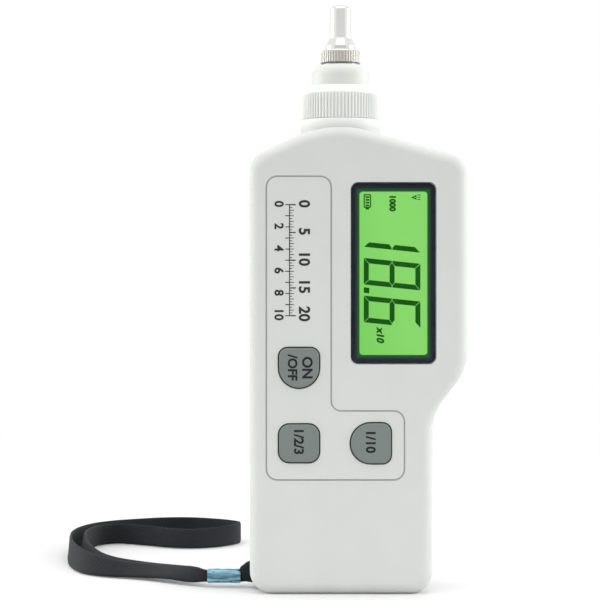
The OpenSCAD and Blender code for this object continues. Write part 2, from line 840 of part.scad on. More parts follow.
module battery_door() {
    color(case_colour)
        difference() {
            union() {
                intersection() {
                    mirror([0, 1, 0])
                        case_half();
                    block([-door_half_w, door_inner_y, door_low_z],
                        [door_half_w, rear_y + over, door_top_z]);
                }
                for (s = [0, 1])
                    mirror([s, 0, 0]) {
                        block([door_flange_in, groove_y + turn_gap, wall],
                            [door_half_w + flange_out, inner_rear_y - turn_gap, door_top_z]);
                        block([door_flange_in, groove_y + turn_gap, wall],
                            [door_half_w, door_inner_y + seat_gap, door_top_z]);
                    }
            }
            for (i = [0 : grip_lines - 1])
                block([-grip_len / 2, rear_y - grip_depth, grip_z - i * grip_pitch],
                    [grip_len / 2, rear_y + over, grip_z - i * grip_pitch + grip_w]);
        }
}

module case_screws() {
    color(steel_colour)
        for (p = case_screw_places)
            screw(p, screw_r, screw_head_r, screw_head_t, screw_seat_y, screw_len);
}

module front_label() {
    color(case_colour)
        difference() {
            path_slab(label_path, 0, front_y + label_recess_t - label_t, label_t);
            for (path = [meas_path, mode_path, range_path])
                path_slab(path, -2 * seat_gap, front_y - over, 2 * over);
        }
}

module display_cover() {
    color("#3a3c44", 0.6)
        path_slab(box_path([display_x, display_z], cover_w, cover_h, cover_r), 0, cover_y, cover_t);
}

module cover_mask() {
    color(black_colour)
        difference() {
            path_slab(box_path([display_x, display_z], cover_w, cover_h, cover_r),
                seat_gap, mask_y, mask_t);
            path_slab(box_path([display_x, display_z], lit_w, lit_h, lit_margin),
                0, mask_y - over, mask_t + 2 * over);
        }
}

module display_frame() {
    place = [display_x, display_z];
    color(black_colour)
        difference() {
            path_slab(box_path(place, frame_w, frame_h, lit_margin),
                0, inner_front_y + lay_gap, board_y - inner_front_y - 2 * lay_gap);
            path_slab(box_path(place, cell_w, cell_h, lit_margin / 2),
                -seat_gap / 2, inner_front_y - over, board_y - inner_front_y + 2 * over);
        }
}

module display_cell() {
    color("#8ce46e")
        path_slab(box_path([display_x, display_z], cell_w, cell_h, lit_margin / 2), 0, cell_y, cell_t);
}

// One segment of a digit as a hexagon about the middle of its stroke
module segment(from, to) {
    run = unit(to - from);
    side = [-run[1], run[0]];
    a = from + segment_gap * run;
    b = to - segment_gap * run;
    w = segment_t / 2;
    polygon([a, a + w * (run - side), b - w * (run + side), b, b - w * (run - side), a + w * (run + side)]);
}

// A digit that stands on the origin, its segments switched by a list of seven
module digit(lit) {
    w = digit_w / 2 - segment_t / 2;
    top = digit_h - segment_t / 2;
    middle = digit_h / 2;
    low = segment_t / 2;
    ends = [
        [[-w, top], [w, top]], [[w, middle], [w, top]], [[w, low], [w, middle]], [[-w, low], [w, low]],
        [[-w, low], [-w, middle]], [[-w, middle], [-w, top]], [[-w, middle], [w, middle]]];
    for (i = [0 : 6])
        if (lit[i] == 1)
            segment(lean_over(ends[i][0]), lean_over(ends[i][1]));
}

// A point of a digit, moved by the slant of the figures
function lean_over(p) = [p[0] + tan(digit_slant) * p[1], p[1]];

module display_digits() {
    color("#0f5f0a")
        translate([digits_x, 0, digits_z])
            slab(cell_y - digit_t, digit_t)
                rotate(-90) {
                    for (i = [0 : len(digit_segments) - 1])
                        translate([i * digit_pitch, 0])
                            digit(digit_segments[i]);
                    translate([1.5 * digit_pitch - point_w / 2, 0])
                        square([point_w, point_w]);
                }
}

module light_guide() {
    color("#e9f5ea")
        path_slab(box_path([display_x, display_z], guide_w, guide_h, lit_margin / 2), 0, guide_y, guide_t);
}

module guide_leds() {
    color("#f4f0c0")
        for (s = [-1, 1])
            translate([display_x + s * led_x, board_y - guide_t / 2,
                       display_z - guide_h / 2 - led_h / 2 - seat_gap])
                cube([led_w, guide_t, led_h], center = true);
}

module contact_strips() {
    color("#2a2a2e")
        for (s = [-1, 1])
            translate([display_x, (guide_y + board_y) / 2, display_z + s * strip_z])
                cube([guide_w, board_y - guide_y - 2 * lay_gap, strip_t], center = true);
}

module main_board() {
    color(board_colour)
        difference() {
            slab(board_y, board_t)
                polygon(board_points);
            for (p = board_screw_places)
                rod(p, board_screw_r + turn_gap, board_y - over, board_t + 2 * over);
        }
}

module board_screws() {
    color(steel_colour)
        for (p = board_screw_places)
            screw(p, board_screw_r, board_screw_head_r, board_screw_head_t,
                board_back_y, board_screw_len);
}

module controller_chip() {
    color("#2b2c30")
        translate([chip_x, board_back_y + chip_t / 2, chip_z]) {
            cube([chip_w, chip_t, chip_w], center = true);
            for (a = [0 : 90 : 270], i = [0 : chip_pins - 1])
                rotate([0, a, 0])
                    translate([(i - (chip_pins - 1) / 2) * pin_pitch, (pin_w - chip_t) / 2, chip_w / 2])
                        cube([pin_w, pin_w, 2 * pin_len], center = true);
        }
}

module amplifier_chips() {
    color("#2b2c30")
        for (i = [0, 1])
            translate([amp_x + i * amp_pitch, board_back_y + chip_t / 2, amp_z])
                cube([amp_w, chip_t, amp_h], center = true);
}

module crystal() {
    color(steel_colour)
        path_slab(box_path([crystal_x, crystal_z], crystal_w, crystal_h, crystal_h / 2 - lay_gap),
            0, board_back_y, crystal_d);
}

module capacitors() {
    color("#3b4a78")
        for (i = [0 : cap_count - 1])
            rod([cap_x, cap_z + i * cap_pitch], can_cap_r, board_back_y, can_cap_h);
}

module chip_resistors() {
    color("#3a3a3a")
        for (i = [0 : resistor_count - 1])
            translate([resistor_x + (i % 2) * 2 * resistor_w, board_back_y + resistor_t / 2,
                       resistor_z - floor(i / 2) * resistor_pitch])
                cube([resistor_w, resistor_t, resistor_h], center = true);
}

module key_switches() {
    color(black_colour)
        difference() {
            for (p = key_places)
                translate([p[0], board_y - switch_h / 2, p[1]])
                    cube([switch_w, switch_h, switch_w], center = true);
            for (p = key_places)
                rod(p, plunger_r + turn_gap, switch_y - over, switch_hole_depth + over);
        }
}

// A key: its cap comes through the front and its flange stays behind it
module key(path, place) {
    color(key_colour)
        union() {
            stacked(path, concat([[plunger_y - lay_gap, 0]], edge_levels(key_front_y, key_edge_r)), place);
            path_slab(path, -flange_rim, flange_y, flange_t);
        }
}

module meas_key() {
    key(meas_path, meas_place);
}

module mode_key() {
    key(mode_path, mode_place);
}

module range_key() {
    key(range_path, range_place);
}

// The pin between a key and its switch
module plunger(place) {
    color("#d8d8d4")
        rod(place, plunger_r, plunger_y, plunger_len);
}

module meas_plunger() {
    plunger(meas_place);
}

module mode_plunger() {
    plunger(mode_place);
}

module range_plunger() {
    plunger(range_place);
}

module sensor_can() {
    color(steel_colour)
        difference() {
            translate([0, 0, can_low_z])
                cylinder(r = can_r, h = can_h);
            translate([0, 0, can_low_z - over])
                cylinder(r = can_r - can_wall, h = can_room_top_z - can_low_z + over);
            translate([0, 0, can_top_z - stud_bore_depth])
                cylinder(r = stud_bore_r, h = stud_bore_depth + over);
        }
}

module sensor_lid() {
    color(steel_colour)
        difference() {
            translate([0, 0, can_low_z + lay_gap])
                cylinder(r = can_r - can_wall - lay_gap, h = lid_t);
            translate([0, 0, can_low_z - over])
                cylinder(r = cable_r + turn_gap, h = lid_t + 2 * over);
        }
}

module piezo_disc() {
    color(brass_colour)
        translate([0, 0, can_room_top_z - piezo_t])
            cylinder(r = piezo_r, h = piezo_t);
}

module seismic_mass() {
    color("#8d9096")
        translate([0, 0, can_room_top_z - piezo_t - mass_h])
            cylinder(r = mass_r, h = mass_h);
}

module sensor_isolator() {
    color("#26282c")
        translate([0, 0, isolator_low_z])
            difference() {
                cylinder(r = nose_bore_r - lay_gap, h = isolator_h);
                translate([0, 0, -over])
                    cylinder(r = can_r + lay_gap, h = isolator_h + 2 * over);
            }
}

module sensor_nose() {
    straight = 0.5 * nose_rise;
    span = nose_r - nose_top_r;
    color(collar_colour)
        rotate_extrude()
            polygon(concat(
                [[nose_bore_r, spigot_top_z], [spigot_r - 2 * turn_gap, spigot_top_z],
                 [spigot_r - 2 * turn_gap, nose_flange_top_z], [nose_r, nose_flange_top_z]],
                [for (k = [0 : 2 * edge_steps])
                    let (t = 75 * k / (2 * edge_steps))
                    [nose_r - span * (1 - cos(t)) / (1 - cos(75)),
                     collar_top_z + straight + (nose_rise - straight) * sin(t) / sin(75)]],
                [[nose_bore_r, nose_top_z]]));
}

module collar_washer() {
    color("#26282c")
        translate([0, 0, nose_flange_top_z + lay_gap])
            difference() {
                cylinder(r = spigot_r - 2 * turn_gap, h = washer_t);
                translate([0, 0, -over])
                    cylinder(r = nose_r + turn_gap, h = washer_t + 2 * over);
            }
}

// A toothed outline: each tooth has a narrow top and a narrow root
module toothed(r, depth, teeth) {
    step = 360 / teeth;
    polygon([for (i = [0 : teeth - 1], q = tooth_shares)
        (r - depth * (1 - q[1])) * [cos((i + q[0]) * step), sin((i + q[0]) * step)]]);
}

module collar() {
    rim_low_r = collar_r - rib_depth;
    color(collar_colour)
        difference() {
            union() {
                translate([0, 0, collar_low_z])
                    linear_extrude(height = ribbed_h)
                        toothed(collar_r, rib_depth, collar_ribs);
                rotate_extrude()
                    polygon([[0, ribs_top_z - seat_gap], [rim_low_r, ribs_top_z - seat_gap],
                             [rim_low_r, ribs_top_z], [collar_rim_r, collar_top_z], [0, collar_top_z]]);
            }
            translate([0, 0, collar_low_z - over])
                cylinder(r = collar_bore_r, h = collar_seat_z - collar_low_z + over);
            translate([0, 0, collar_seat_z - over])
                cylinder(r = collar_lip_r, h = collar_top_z - collar_seat_z + 2 * over);
        }
}

module probe_washer() {
    color(steel_colour)
        translate([0, 0, can_top_z + lay_gap])
            difference() {
                cylinder(r = probe_washer_r, h = washer_t);
                translate([0, 0, -over])
                    cylinder(r = stud_bore_r + turn_gap, h = washer_t + 2 * over);
            }
}

module probe_nut() {
    color(nickel_colour)
        difference() {
            intersection() {
                translate([0, 0, nut_low_z])
                    linear_extrude(height = nut_h)
                        toothed(nut_r, knurl_depth, nut_teeth);
                rotate_extrude()
                    polygon([[0, nut_low_z], [nut_r - nut_chamfer, nut_low_z],
                             [nut_r, nut_low_z + nut_chamfer], [nut_r, nut_top_z - nut_chamfer],
                             [nut_r - nut_chamfer, nut_top_z], [0, nut_top_z]]);
            }
            translate([0, 0, nut_low_z - over])
                cylinder(r = stud_bore_r + turn_gap, h = nut_h + 2 * over);
        }
}

module probe_tip() {
    ball_r = (shank_r * shank_r + tip_rise * tip_rise) / (2 * tip_rise);
    color(chrome_colour)
        union() {
            translate([0, 0, nut_low_z - stud_len])
                cylinder(r = stud_r, h = nut_top_z - nut_low_z + stud_len + lay_gap);
            rotate_extrude()
                polygon([[0, nut_top_z], [foot_r, nut_top_z], [foot_r, nut_top_z + foot_h],
                         [shank_r, nut_top_z + foot_h + foot_cone_h],
                         [0, nut_top_z + foot_h + foot_cone_h]]);
            intersection() {
                translate([0, 0, nut_top_z + foot_h])
                    cylinder(r = shank_r, h = probe_h);
                translate([0, 0, probe_top_z - ball_r])
                    sphere(r = ball_r);
            }
            translate([0, 0, nut_top_z + foot_h])
                cylinder(r = shank_r, h = probe_h - foot_h - tip_rise);
        }
}

module sensor_cable() {
    low_z = can_low_z - lay_gap;
    end_z = socket_z + socket_h / 2;
    span = low_z - end_z;
    color("#2b2d31")
        tube([[0, 0, low_z], [0, 0, low_z - 0.12 * span],
              [0.1 * socket_x, 0.1 * cable_y, low_z - 0.3 * span],
              [0.4 * socket_x, 0.4 * cable_y, low_z - 0.5 * span],
              [0.8 * socket_x, 0.8 * cable_y, low_z - 0.7 * span],
              [socket_x, cable_y, low_z - 0.88 * span], [socket_x, cable_y, end_z]],
            cable_r, [0, 1, 0]);
}

module sensor_socket() {
    color("#e6e2d4")
        translate([socket_x, board_back_y + socket_t / 2, socket_z])
            cube([socket_w, socket_t, socket_h], center = true);
}

module battery() {
    color("#3c4653")
        translate([0, battery_y + battery_d / 2, battery_z])
            linear_extrude(height = battery_h)
                polygon(inset(box_path([0, 0], battery_w, battery_d, battery_corner_r), 0));
}

module battery_terminals() {
    color(steel_colour)
        translate([0, snap_y, battery_top_z]) {
            translate([-terminal_x, 0, 0])
                cylinder(r = terminal_small_r, h = terminal_h);
            translate([terminal_x, 0, 0])
                cylinder(r = terminal_large_r, h = terminal_h, $fn = terminal_sides);
        }
}

module battery_snap() {
    color("#1f2023")
        difference() {
            translate([0, snap_y, snap_z + snap_h / 2])
                cube([snap_w, snap_d, snap_h], center = true);
            translate([-terminal_x, snap_y, snap_z - over])
                cylinder(r = terminal_small_r + turn_gap, h = terminal_h + over);
            translate([terminal_x, snap_y, snap_z - over])
                cylinder(r = terminal_large_r + turn_gap, h = terminal_h + over);
        }
}

// A lead from the battery snap through the bay's top to its pad on the board
module lead(x) {
    start_z = snap_z + snap_h;
    rise = lead_pad_z - start_z;
    union() {
        tube([[x, lead_y, start_z], [x, lead_y, start_z + 0.3 * rise],
              [x, 0.9 * lead_y, start_z + 0.6 * rise],
              [x, 0.3 * board_back_y, start_z + 0.9 * rise], [x, 0.7 * board_back_y, lead_pad_z],
              [x, board_back_y + lead_pad_t / 2, lead_pad_z]],
            lead_r, [1, 0, 0]);
        rod([x, lead_pad_z], 1.6 * lead_r, board_back_y, lead_pad_t);
    }
}

module lead_red() {
    color("#b3302a")
        lead(lead_x);
}

module lead_black() {
    color("#1f2023")
        lead(-lead_x);
}

module battery_pad() {
    color(foam_colour)
        translate([0, battery_y + battery_d / 2, bay_inner_low_z + lay_gap + pad_t / 2])
            cube([0.9 * battery_w, 0.8 * battery_d, pad_t], center = true);
}

module strap_pin() {
    color(steel_colour)
        translate([pin_x, 0, pocket_low_z - pin_bite + lay_gap])
            cylinder(r = pin_r, h = pocket_h + 2 * pin_bite - 2 * lay_gap);
}

module strap_tail() {
    last = len(tail_route) - 1;
    color(webbing_colour)
        difference() {
            union() {
                loft(webbing_rings(tail_route, [0, 0, 0, 0], webbing_w * tail_height_shares,
                        webbing_t * tail_thick_shares),
                    tail_route[0], tail_route[last]);
                translate([pin_x, 0, eye_low_z])
                    cylinder(r = eye_r, h = eye_h);
            }
            translate([pin_x, 0, eye_low_z - over])
                cylinder(r = pin_r + turn_gap, h = eye_h + 2 * over);
            block([sleeve_end_x, -half_w, 0], [sleeve_x, half_w, half_w]);
        }
}

module strap_sleeve() {
    color("#6ea5be")
        translate([sleeve_x - sleeve_len, sleeve_y, sleeve_z])
            rotate([0, 90, 0])
                cylinder(r = sleeve_r, h = sleeve_len);
}

module strap_loop() {
    route = smooth_route(loop_route, 2);
    color(webbing_colour)
        loft(webbing_rings(route, [for (p = route) p[3]], [for (p = route) p[4] * webbing_w],
                [for (p = route) webbing_t]),
            place_of(route[0]), place_of(route[len(route) - 1]));
}

front_shell();
rear_shell();
battery_door();
case_screws();
front_label();
display_cover();
cover_mask();
display_frame();
display_cell();
display_digits();
light_guide();
guide_leds();
contact_strips();
main_board();
board_screws();
controller_chip();
amplifier_chips();
crystal();
capacitors();
chip_resistors();
key_switches();
meas_key();
mode_key();
range_key();
meas_plunger();
mode_plunger();
range_plunger();
sensor_can();
sensor_lid();
piezo_disc();
seismic_mass();
sensor_isolator();
sensor_nose();
collar_washer();
collar();
probe_washer();
probe_nut();
probe_tip();
sensor_cable();
sensor_socket();
battery();
battery_terminals();
battery_snap();
lead_red();
lead_black();
battery_pad();
strap_pin();
strap_tail();
strap_sleeve();
strap_loop();
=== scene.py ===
"""Looks of a handheld vibration meter: its case, label, keys, lit display, probe
and wrist strap, built round the packed frame. Run as a script."""

from math import cos, pi, radians, sin, tan

import bmesh
import bpy
from mathutils import Matrix, Vector


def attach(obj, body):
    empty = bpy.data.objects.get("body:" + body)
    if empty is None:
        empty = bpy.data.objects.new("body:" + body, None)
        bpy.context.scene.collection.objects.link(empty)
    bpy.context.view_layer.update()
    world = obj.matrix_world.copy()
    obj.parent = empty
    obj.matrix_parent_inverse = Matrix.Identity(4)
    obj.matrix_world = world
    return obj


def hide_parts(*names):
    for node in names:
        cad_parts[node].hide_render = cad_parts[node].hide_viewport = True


bl_info = {
    "name": "Vibration meter",
    "version": (1, 0, 0),
    "blender": (4, 5, 0),
    "location": "View3D > Sidebar > Meter",
    "description": "Models the visible pieces of a handheld vibration meter",
    "category": "Object",
}

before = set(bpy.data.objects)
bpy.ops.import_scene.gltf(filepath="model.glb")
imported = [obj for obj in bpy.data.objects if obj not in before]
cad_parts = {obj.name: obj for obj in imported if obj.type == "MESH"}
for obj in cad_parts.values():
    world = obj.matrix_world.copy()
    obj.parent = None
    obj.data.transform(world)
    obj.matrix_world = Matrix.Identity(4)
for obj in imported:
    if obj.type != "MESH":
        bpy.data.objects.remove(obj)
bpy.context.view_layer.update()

# One millimetre in the scene's metres. Sizes are in millimetres unless said otherwise
MM = 0.001
# Places nearer to each other than this count as one
NEAR = 0.001

# Case: planes and the outline's corners [x, z, radius], counterclockwise
HALF_W = 28.15
HEAD_X = 38.85
FRONT_Y = -15.0
REAR_Y = 15.0
WALL = 2.2
SHOULDER_Z = 134.0
PEAK_Z = 144.7
CASE_CORNERS = [
    (-HALF_W, 0, 6.8), (HALF_W, 0, 6.8), (HALF_W, 55.1, 13.5), (HEAD_X, 69.3, 14.5),
    (HEAD_X, SHOULDER_Z, 6.4), (0, PEAK_Z, 25), (-12.3, PEAK_Z - 3.2, 15),
    (-HALF_W, SHOULDER_Z + 0.2, 6.4)]
CORNER_STEPS = 12

# Neck, its bore's cut, the heights over which painted light makes it paler, and the spigot
NECK_R = 12.4
NECK_FLARE = 2.3
NECK_H = 1.8
NECK_TOP_Z = PEAK_Z + NECK_H
NECK_FOOT_Z = 135.1
NECK_BORE_R = 8.6
NECK_BORE_Z = (130, 160)
NECK_PAINTED_LIGHT_Z = (143.5, 146)
SPIGOT_R = 10.4
SPIGOT_TOP_Z = NECK_TOP_Z + 6.4

# Strap's pocket in the base, as low and high corners
POCKET_LOW = (-29.2, -2.7, 1.5)
POCKET_HIGH = (-19.95, 2.7, 8.9)
POCKET_WALL = 1.4

# Battery bay with its sill, the wires' holes and the guides for the door
BAY_HALF_W = 14.0
BAY_OUT = 15.6
BAY_BACK_Y = 13.85
BAY_FRONT_Y = -6.4
BAY_INNER_Y = -5.2
BAY_LOW_Z = 3.55
BAY_HIGH_Z = 56.55
BAY_WALL = 1.2
SILL_LOW = (-15.5, 0.2, 1.1)
SILL_HIGH = (15.5, 13.3, 3)
WIRE_X = 4
WIRE_Y = 1.5
WIRE_R = 1.4
INNER_REAR_Y = REAR_Y - WALL
# Cuts from the rear start at this plane
BEHIND_Y = 16

# Battery door, its gap, and its rails as low and high corners of the right ones
DOOR_HALF_W = 16.0
DOOR_LOW_Z = 0.4
DOOR_TOP_Z = 60.3
DOOR_GAP = 0.15
DOOR_RAILS = [
    ((14.3, 11.7, WALL), (17.5, 12.7, DOOR_TOP_Z)), ((14.3, 12.5, WALL), (15.9, 13.3, DOOR_TOP_Z))]
GUIDE_LOW = (13, 10, 1.15)
GUIDE_HIGH = (19.3, 13.8, DOOR_TOP_Z + 1.6)
GROOVE_LOW = (BAY_HALF_W - 0.05, 11.6, -1)
GROOVE_HIGH = (17.7, 12.9, DOOR_TOP_Z + 0.1)
GRIP_COUNT = 6
GRIP_PITCH = 2.2
GRIP_HALF_W = 9
GRIP_DEPTH = 0.5
GRIP_Z = (52.3, 53.4)

# Case screws and the bosses that they hold
SCREW_PLACES = [(-21.55, 16), (21.55, 16), (-22.05, 129.6), (33.4, 129.6)]
SCREW_SEAT_Y = 4.0
SCREW_HEAD_R = 2.15
SCREW_HOLE_R = 1.2
BOSS_R = 2.9
BOSS_BACK_Y = 13.9

# Display: middle, cover, lit area and the plane of the glass cell
DISPLAY_X = 15.95
DISPLAY_Z = 98.5
COVER_HALF = (13.05, 27.85)
COVER_R = 2.3
COVER_GAP = 0.15
COVER_SEAT = 1.35
COVER_Y = -14.9
COVER_T = 1.1
LIT_HALF = (10.4, 25.05)
LIT_SPANS = (("X", DISPLAY_X, LIT_HALF[0]), ("Z", DISPLAY_Z, LIT_HALF[1]))
WINDOW_MARGIN = 1
CELL_Y = -12.7

# Large figures: their foot line, the middle of the first, and a figure's sizes
DIGITS_X = 6.9
DIGITS_Z = 110.77
DIGIT_W = 8.2
DIGIT_H = 17.4
DIGIT_PITCH = 11.6
STROKE = 1.55
STROKE_GAP = 0.1
STROKE_T = 0.04
SLANT = 6
POINT_W = 1.7
DIGITS_LIT = ("bc", "abcdefg", "acdefg")

# Small signs: their front plane, thickness, the battery's corners and its bars
SIGN_Y = CELL_Y - 0.03
SIGN_T = 0.02
BATTERY_LOW = (6.85, 118.6)
BATTERY_HIGH = (9.15, 122.85)
BATTERY_LINE = 0.36
BATTERY_BARS = 4
BAR_PITCH = 0.85
BAR_H = 0.55
LAMP_CORNERS = [(21.4, 121.8, 0), (23.1, 121.1, 0), (23.1, 122.6, 0)]
LAMP_LINE = 0.3
RAY_X = (23.4, 24.3)
RAY_W = 0.26
RAY_Z = (121.05, 121.75, 122.45)

# Front label and keys: outlines' corners [x, z, radius]
LABEL_LEFT = -23.1
LABEL_CORNERS = [
    (LABEL_LEFT, 35.1, 3.4), (19.4, 35.1, 3.4), (19.4, 56.4, 3.4),
    (-3.05, 56.4, 3.0), (-3.05, 128.3, 3.4), (LABEL_LEFT, 128.3, 3.4)]
LABEL_Y = -15.05
LABEL_T = 0.35
LABEL_GAP = 0.15
LABEL_SEAT = 0.3
INK_Y = LABEL_Y - 0.03
INK_T = 0.02
KEY_FRONT_Y = -15.8
KEY_DEPTH = 3.6
KEY_GAP = 0.38
KEY_FLANGE = 0.9
FLANGE_Y = -12.75
FLANGE_T = 0.6
MEAS_KEY = [(-19.15, 63.4, 6.1), (-6.85, 63.4, 6.1), (-6.85, 75.6, 2.6), (-19.15, 75.6, 2.6)]
MODE_KEY = [(-19.15, 40.6, 3.2), (-6.85, 40.6, 3.2), (-6.85, 52.2, 3.2), (-19.15, 52.2, 3.2)]
RANGE_KEY = [(2.85, 40.25, 6.1), (15.15, 40.25, 2.6), (15.15, 52.55, 2.6), (2.85, 52.55, 6.1)]
KEYS = {"meas": MEAS_KEY, "mode": MODE_KEY, "range": RANGE_KEY}

# Signs on the keys: text, x and z of its start, and size
KEY_SIGNS = {
    "meas": [("ON", -11.9, 73.0, 4.3), ("/OFF", -16.3, 73.6, 3.9)],
    "mode": [("1/2/3", -14.4, 51.2, 4.0)],
    "range": [("1/10", 7.6, 50.6, 4.0)]}

# Printed scale: its line, and the marks on both sides of it. Marks towards the large
# figures are given as every how many steps, length and half width
SCALE_TOP_Z = 119.5
SCALE_LOW_Z = 85.5
SCALE_END = 0.12
SCALE_X = -15.9
SCALE_HALF_W = 0.14
SCALE_MARKS = 40
MARK_SIZES = [(10, 1.9, 0.17), (2, 1.35, 0.1), (1, 0.8, 0.1)]
BACK_MARK_STEPS = 4
BACK_MARK_L = 1.3
BACK_MARK_HALF_W = 0.13

# Rows of figures: the line of their feet, share of the set height, thickening, how
# many, the count between two of them and the marks between two of them
SCALE_ROWS = [(-12.9, 1, 0.14, 5, 5, 10), (-20.4, 0.82, 0.11, 6, 2, 8)]
# Half a figure's width as a share of its height
FIGURE_HALF_W = 0.31

# Collar, nose and probe: heights and radii
COLLAR_LOW_Z = 146.65
RIBS_TOP_Z = 154.65
COLLAR_TOP_Z = 157.05
COLLAR_R = 12.05
COLLAR_SEAT_Z = 154.4
RIB_DEPTH = 0.55
RIB_R = 0.3
RIB_COUNT = 70
NOSE_R = 9.0
NOSE_RIM_R = 10.2
NOSE_RIM_Z = 153.9
NOSE_BORE_R = 6.4
NOSE_TOP_R = 6.65
NOSE_BEND_Z = 160.45
NOSE_BEND = radians(75)
NOSE_TOP_Z = 163.85
NUT_R = 6.35
NUT_BORE_R = 2.6
NUT_CHAMFER = 0.5
NUT_LOW_Z = 164.15
NUT_TOP_Z = 168.55
NUT_TEETH = 44
TOOTH_H = 0.25
TOOTH_HALF_W = 0.26
TOOTH_END = 0.35
STUD_R = 2.45
STUD_LOW_Z = 159.4
FOOT_R = 4.7
SHANK_R = 3.36
SHANK_LOW_Z = 172.6
DOME_H = 1.7
PROBE_TOP_Z = 182.95

# Strap: middle of the doubled tail from the slot to the sleeve, then the loop.
# Each point has x, y, z, the webbing's lean in degrees and its height's share
TAIL_OUT = [
    (-23.8, -1.2, 5.2, 0, 0.92), (-26.2, -1.0, 5.2, 0, 0.92), (-28.2, -0.75, 4.9, 0, 0.88),
    (-29.9, -0.2, 4.3, 0, 0.7),
    (-31.8, 0.4, 3.6, 0, 0.5), (-36.8, 0.5, 3.5, 0, 0.48)]
TAIL_BACK = [
    (-36.8, 1.9, 3.5, 0, 0.48), (-31.8, 1.9, 3.6, 0, 0.5), (-29.9, 1.5, 4.3, 0, 0.7),
    (-28.2, 1.1, 4.9, 0, 0.88), (-26.2, 1.1, 5.2, 0, 0.92), (-23.8, 1.2, 5.2, 0, 0.92)]
LOOP = [
    (-42.2, 0.5, 3.5, 0, 0.48), (-46.5, 3.8, 3.5, -25, 0.68), (-52, 9.5, 3.3, -56, 0.85),
    (-59, 16, 2.8, -64, 1), (-67, 20.5, 2.6, -60, 1), (-74.5, 23.5, 2.8, -52, 1),
    (-81.2, 28.5, 3.2, -40, 1), (-86, 37, 3.5, -27, 1), (-90.4, 51, 3.8, -14, 1),
    (-93, 67, 3.9, -6, 1), (-94, 82, 3.9, 0, 1), (-93, 95.5, 3.9, 0, 1),
    (-89.3, 107.5, 3.9, 0, 1), (-83, 116, 3.9, 0, 1), (-74, 122, 3.9, 0, 1),
    (-64.5, 126.5, 3.9, 0, 1), (-54.5, 127, 3.9, 0, 1), (-45.5, 123, 3.9, 0, 1),
    (-38.5, 117.5, 3.9, 0, 1), (-35.2, 111.5, 3.9, 0, 1), (-37.5, 103.5, 3.9, -8, 1),
    (-44, 97, 3.7, -22, 1), (-51.5, 94, 3.6, -30, 1), (-59, 95.5, 3.6, -30, 1),
    (-67, 100.5, 3.7, -24, 1), (-74.5, 105, 3.8, -12, 1), (-81.5, 106, 3.9, -4, 1),
    (-86.5, 101, 3.9, 0, 1), (-88.8, 92, 3.9, 0, 1), (-89.5, 80, 3.9, 6, 1),
    (-88.5, 66, 3.6, 24, 1), (-86, 53.5, 3.2, 42, 1), (-82, 43, 2.8, 54, 1),
    (-76.5, 35, 2.55, 60, 1), (-70, 29.5, 2.4, 63, 1), (-63, 24.5, 2.3, 65, 1),
    (-56.5, 18.5, 2.5, 62, 0.96), (-50.5, 12, 2.9, 55, 0.85), (-46, 6, 3.2, 34, 0.68),
    (-42.2, 1.9, 3.5, 0, 0.48)]
ROUTE_STEPS = 5

# Sleeve that gathers the webbing: its ends, its middle and its radius
SLEEVE_X = (-41.8, -31.4)
SLEEVE_Y = 1.2
SLEEVE_Z = 3.5
SLEEVE_R = 2.45

# Lamps: name, place and size in metres, and power in watts
LAMPS = [
    ("left_lamp", (-0.8, -0.8, 0.85), 0.6, 2.45),
    ("right_lamp", (0.8, -0.8, 0.8), 0.6, 2.45),
    ("left_side_lamp", (-1.3, 0.25, 0.3), 0.9, 6.8),
    ("right_side_lamp", (1.3, 0.2, 0.3), 0.9, 8.4),
    ("top_lamp", (0.0, -0.1, 1.1), 0.9, 2.9)]
LAMPS_AIM = (0, 0, 0.09)
# Lamps that stand nearer to the camera than this don't show in shiny surfaces
LAMP_SHINE_Y = -0.5


def linear(code):
    """Linear colour of an sRGB hex value, with full alpha."""
    parts = [int(code[i:i + 2], 16) / 255 for i in (0, 2, 4)]
    return tuple(c / 12.92 if c <= 0.04045 else ((c + 0.055) / 1.055) ** 2.4 for c in parts) + (1,)


WHITE = linear("ffffff")


class StageSettings(bpy.types.PropertyGroup):
    """Camera, floor and lamps."""

    camera_away: bpy.props.FloatProperty(
        name="Camera distance", description="Distance of the camera from the probe's axis",
        default=600 * MM, unit="LENGTH")
    camera_side: bpy.props.FloatProperty(
        name="Camera side", description="How far left of the probe's axis the camera stands",
        default=12.7 * MM, unit="LENGTH")
    camera_height: bpy.props.FloatProperty(
        name="Camera height", description="Height of the camera over the table",
        default=90.3 * MM, unit="LENGTH")
    lens: bpy.props.FloatProperty(
        name="Lens", description="Focal length of the camera", default=114.57, unit="CAMERA")
    floor: bpy.props.FloatVectorProperty(
        name="Floor colour", description="Colour of the table",
        subtype="COLOR", size=4, min=0, max=1, default=linear("dedede"))


class CaseSettings(bpy.types.PropertyGroup):
    """Shells, neck and battery door."""

    plastic: bpy.props.FloatVectorProperty(
        name="Case colour", description="Colour of the moulded shells",
        subtype="COLOR", size=4, min=0, max=1, default=linear("d0d3cf"))
    # Paler than the case colour: painted light on the neck
    neck: bpy.props.FloatVectorProperty(
        name="Neck colour", description="Colour of the thin neck",
        subtype="COLOR", size=4, min=0, max=1, default=linear("ecefea"))
    edge: bpy.props.FloatProperty(
        name="Edge radius", description="Radius along the front and rear edges",
        default=3.5 * MM, unit="LENGTH")
    seam: bpy.props.FloatProperty(
        name="Seam chamfer", description="Chamfer along the seam between the shells",
        default=0.2 * MM, unit="LENGTH")
    edge_steps: bpy.props.IntProperty(
        name="Edge steps", description="Faces across a rounded edge", default=10, min=3, max=24)


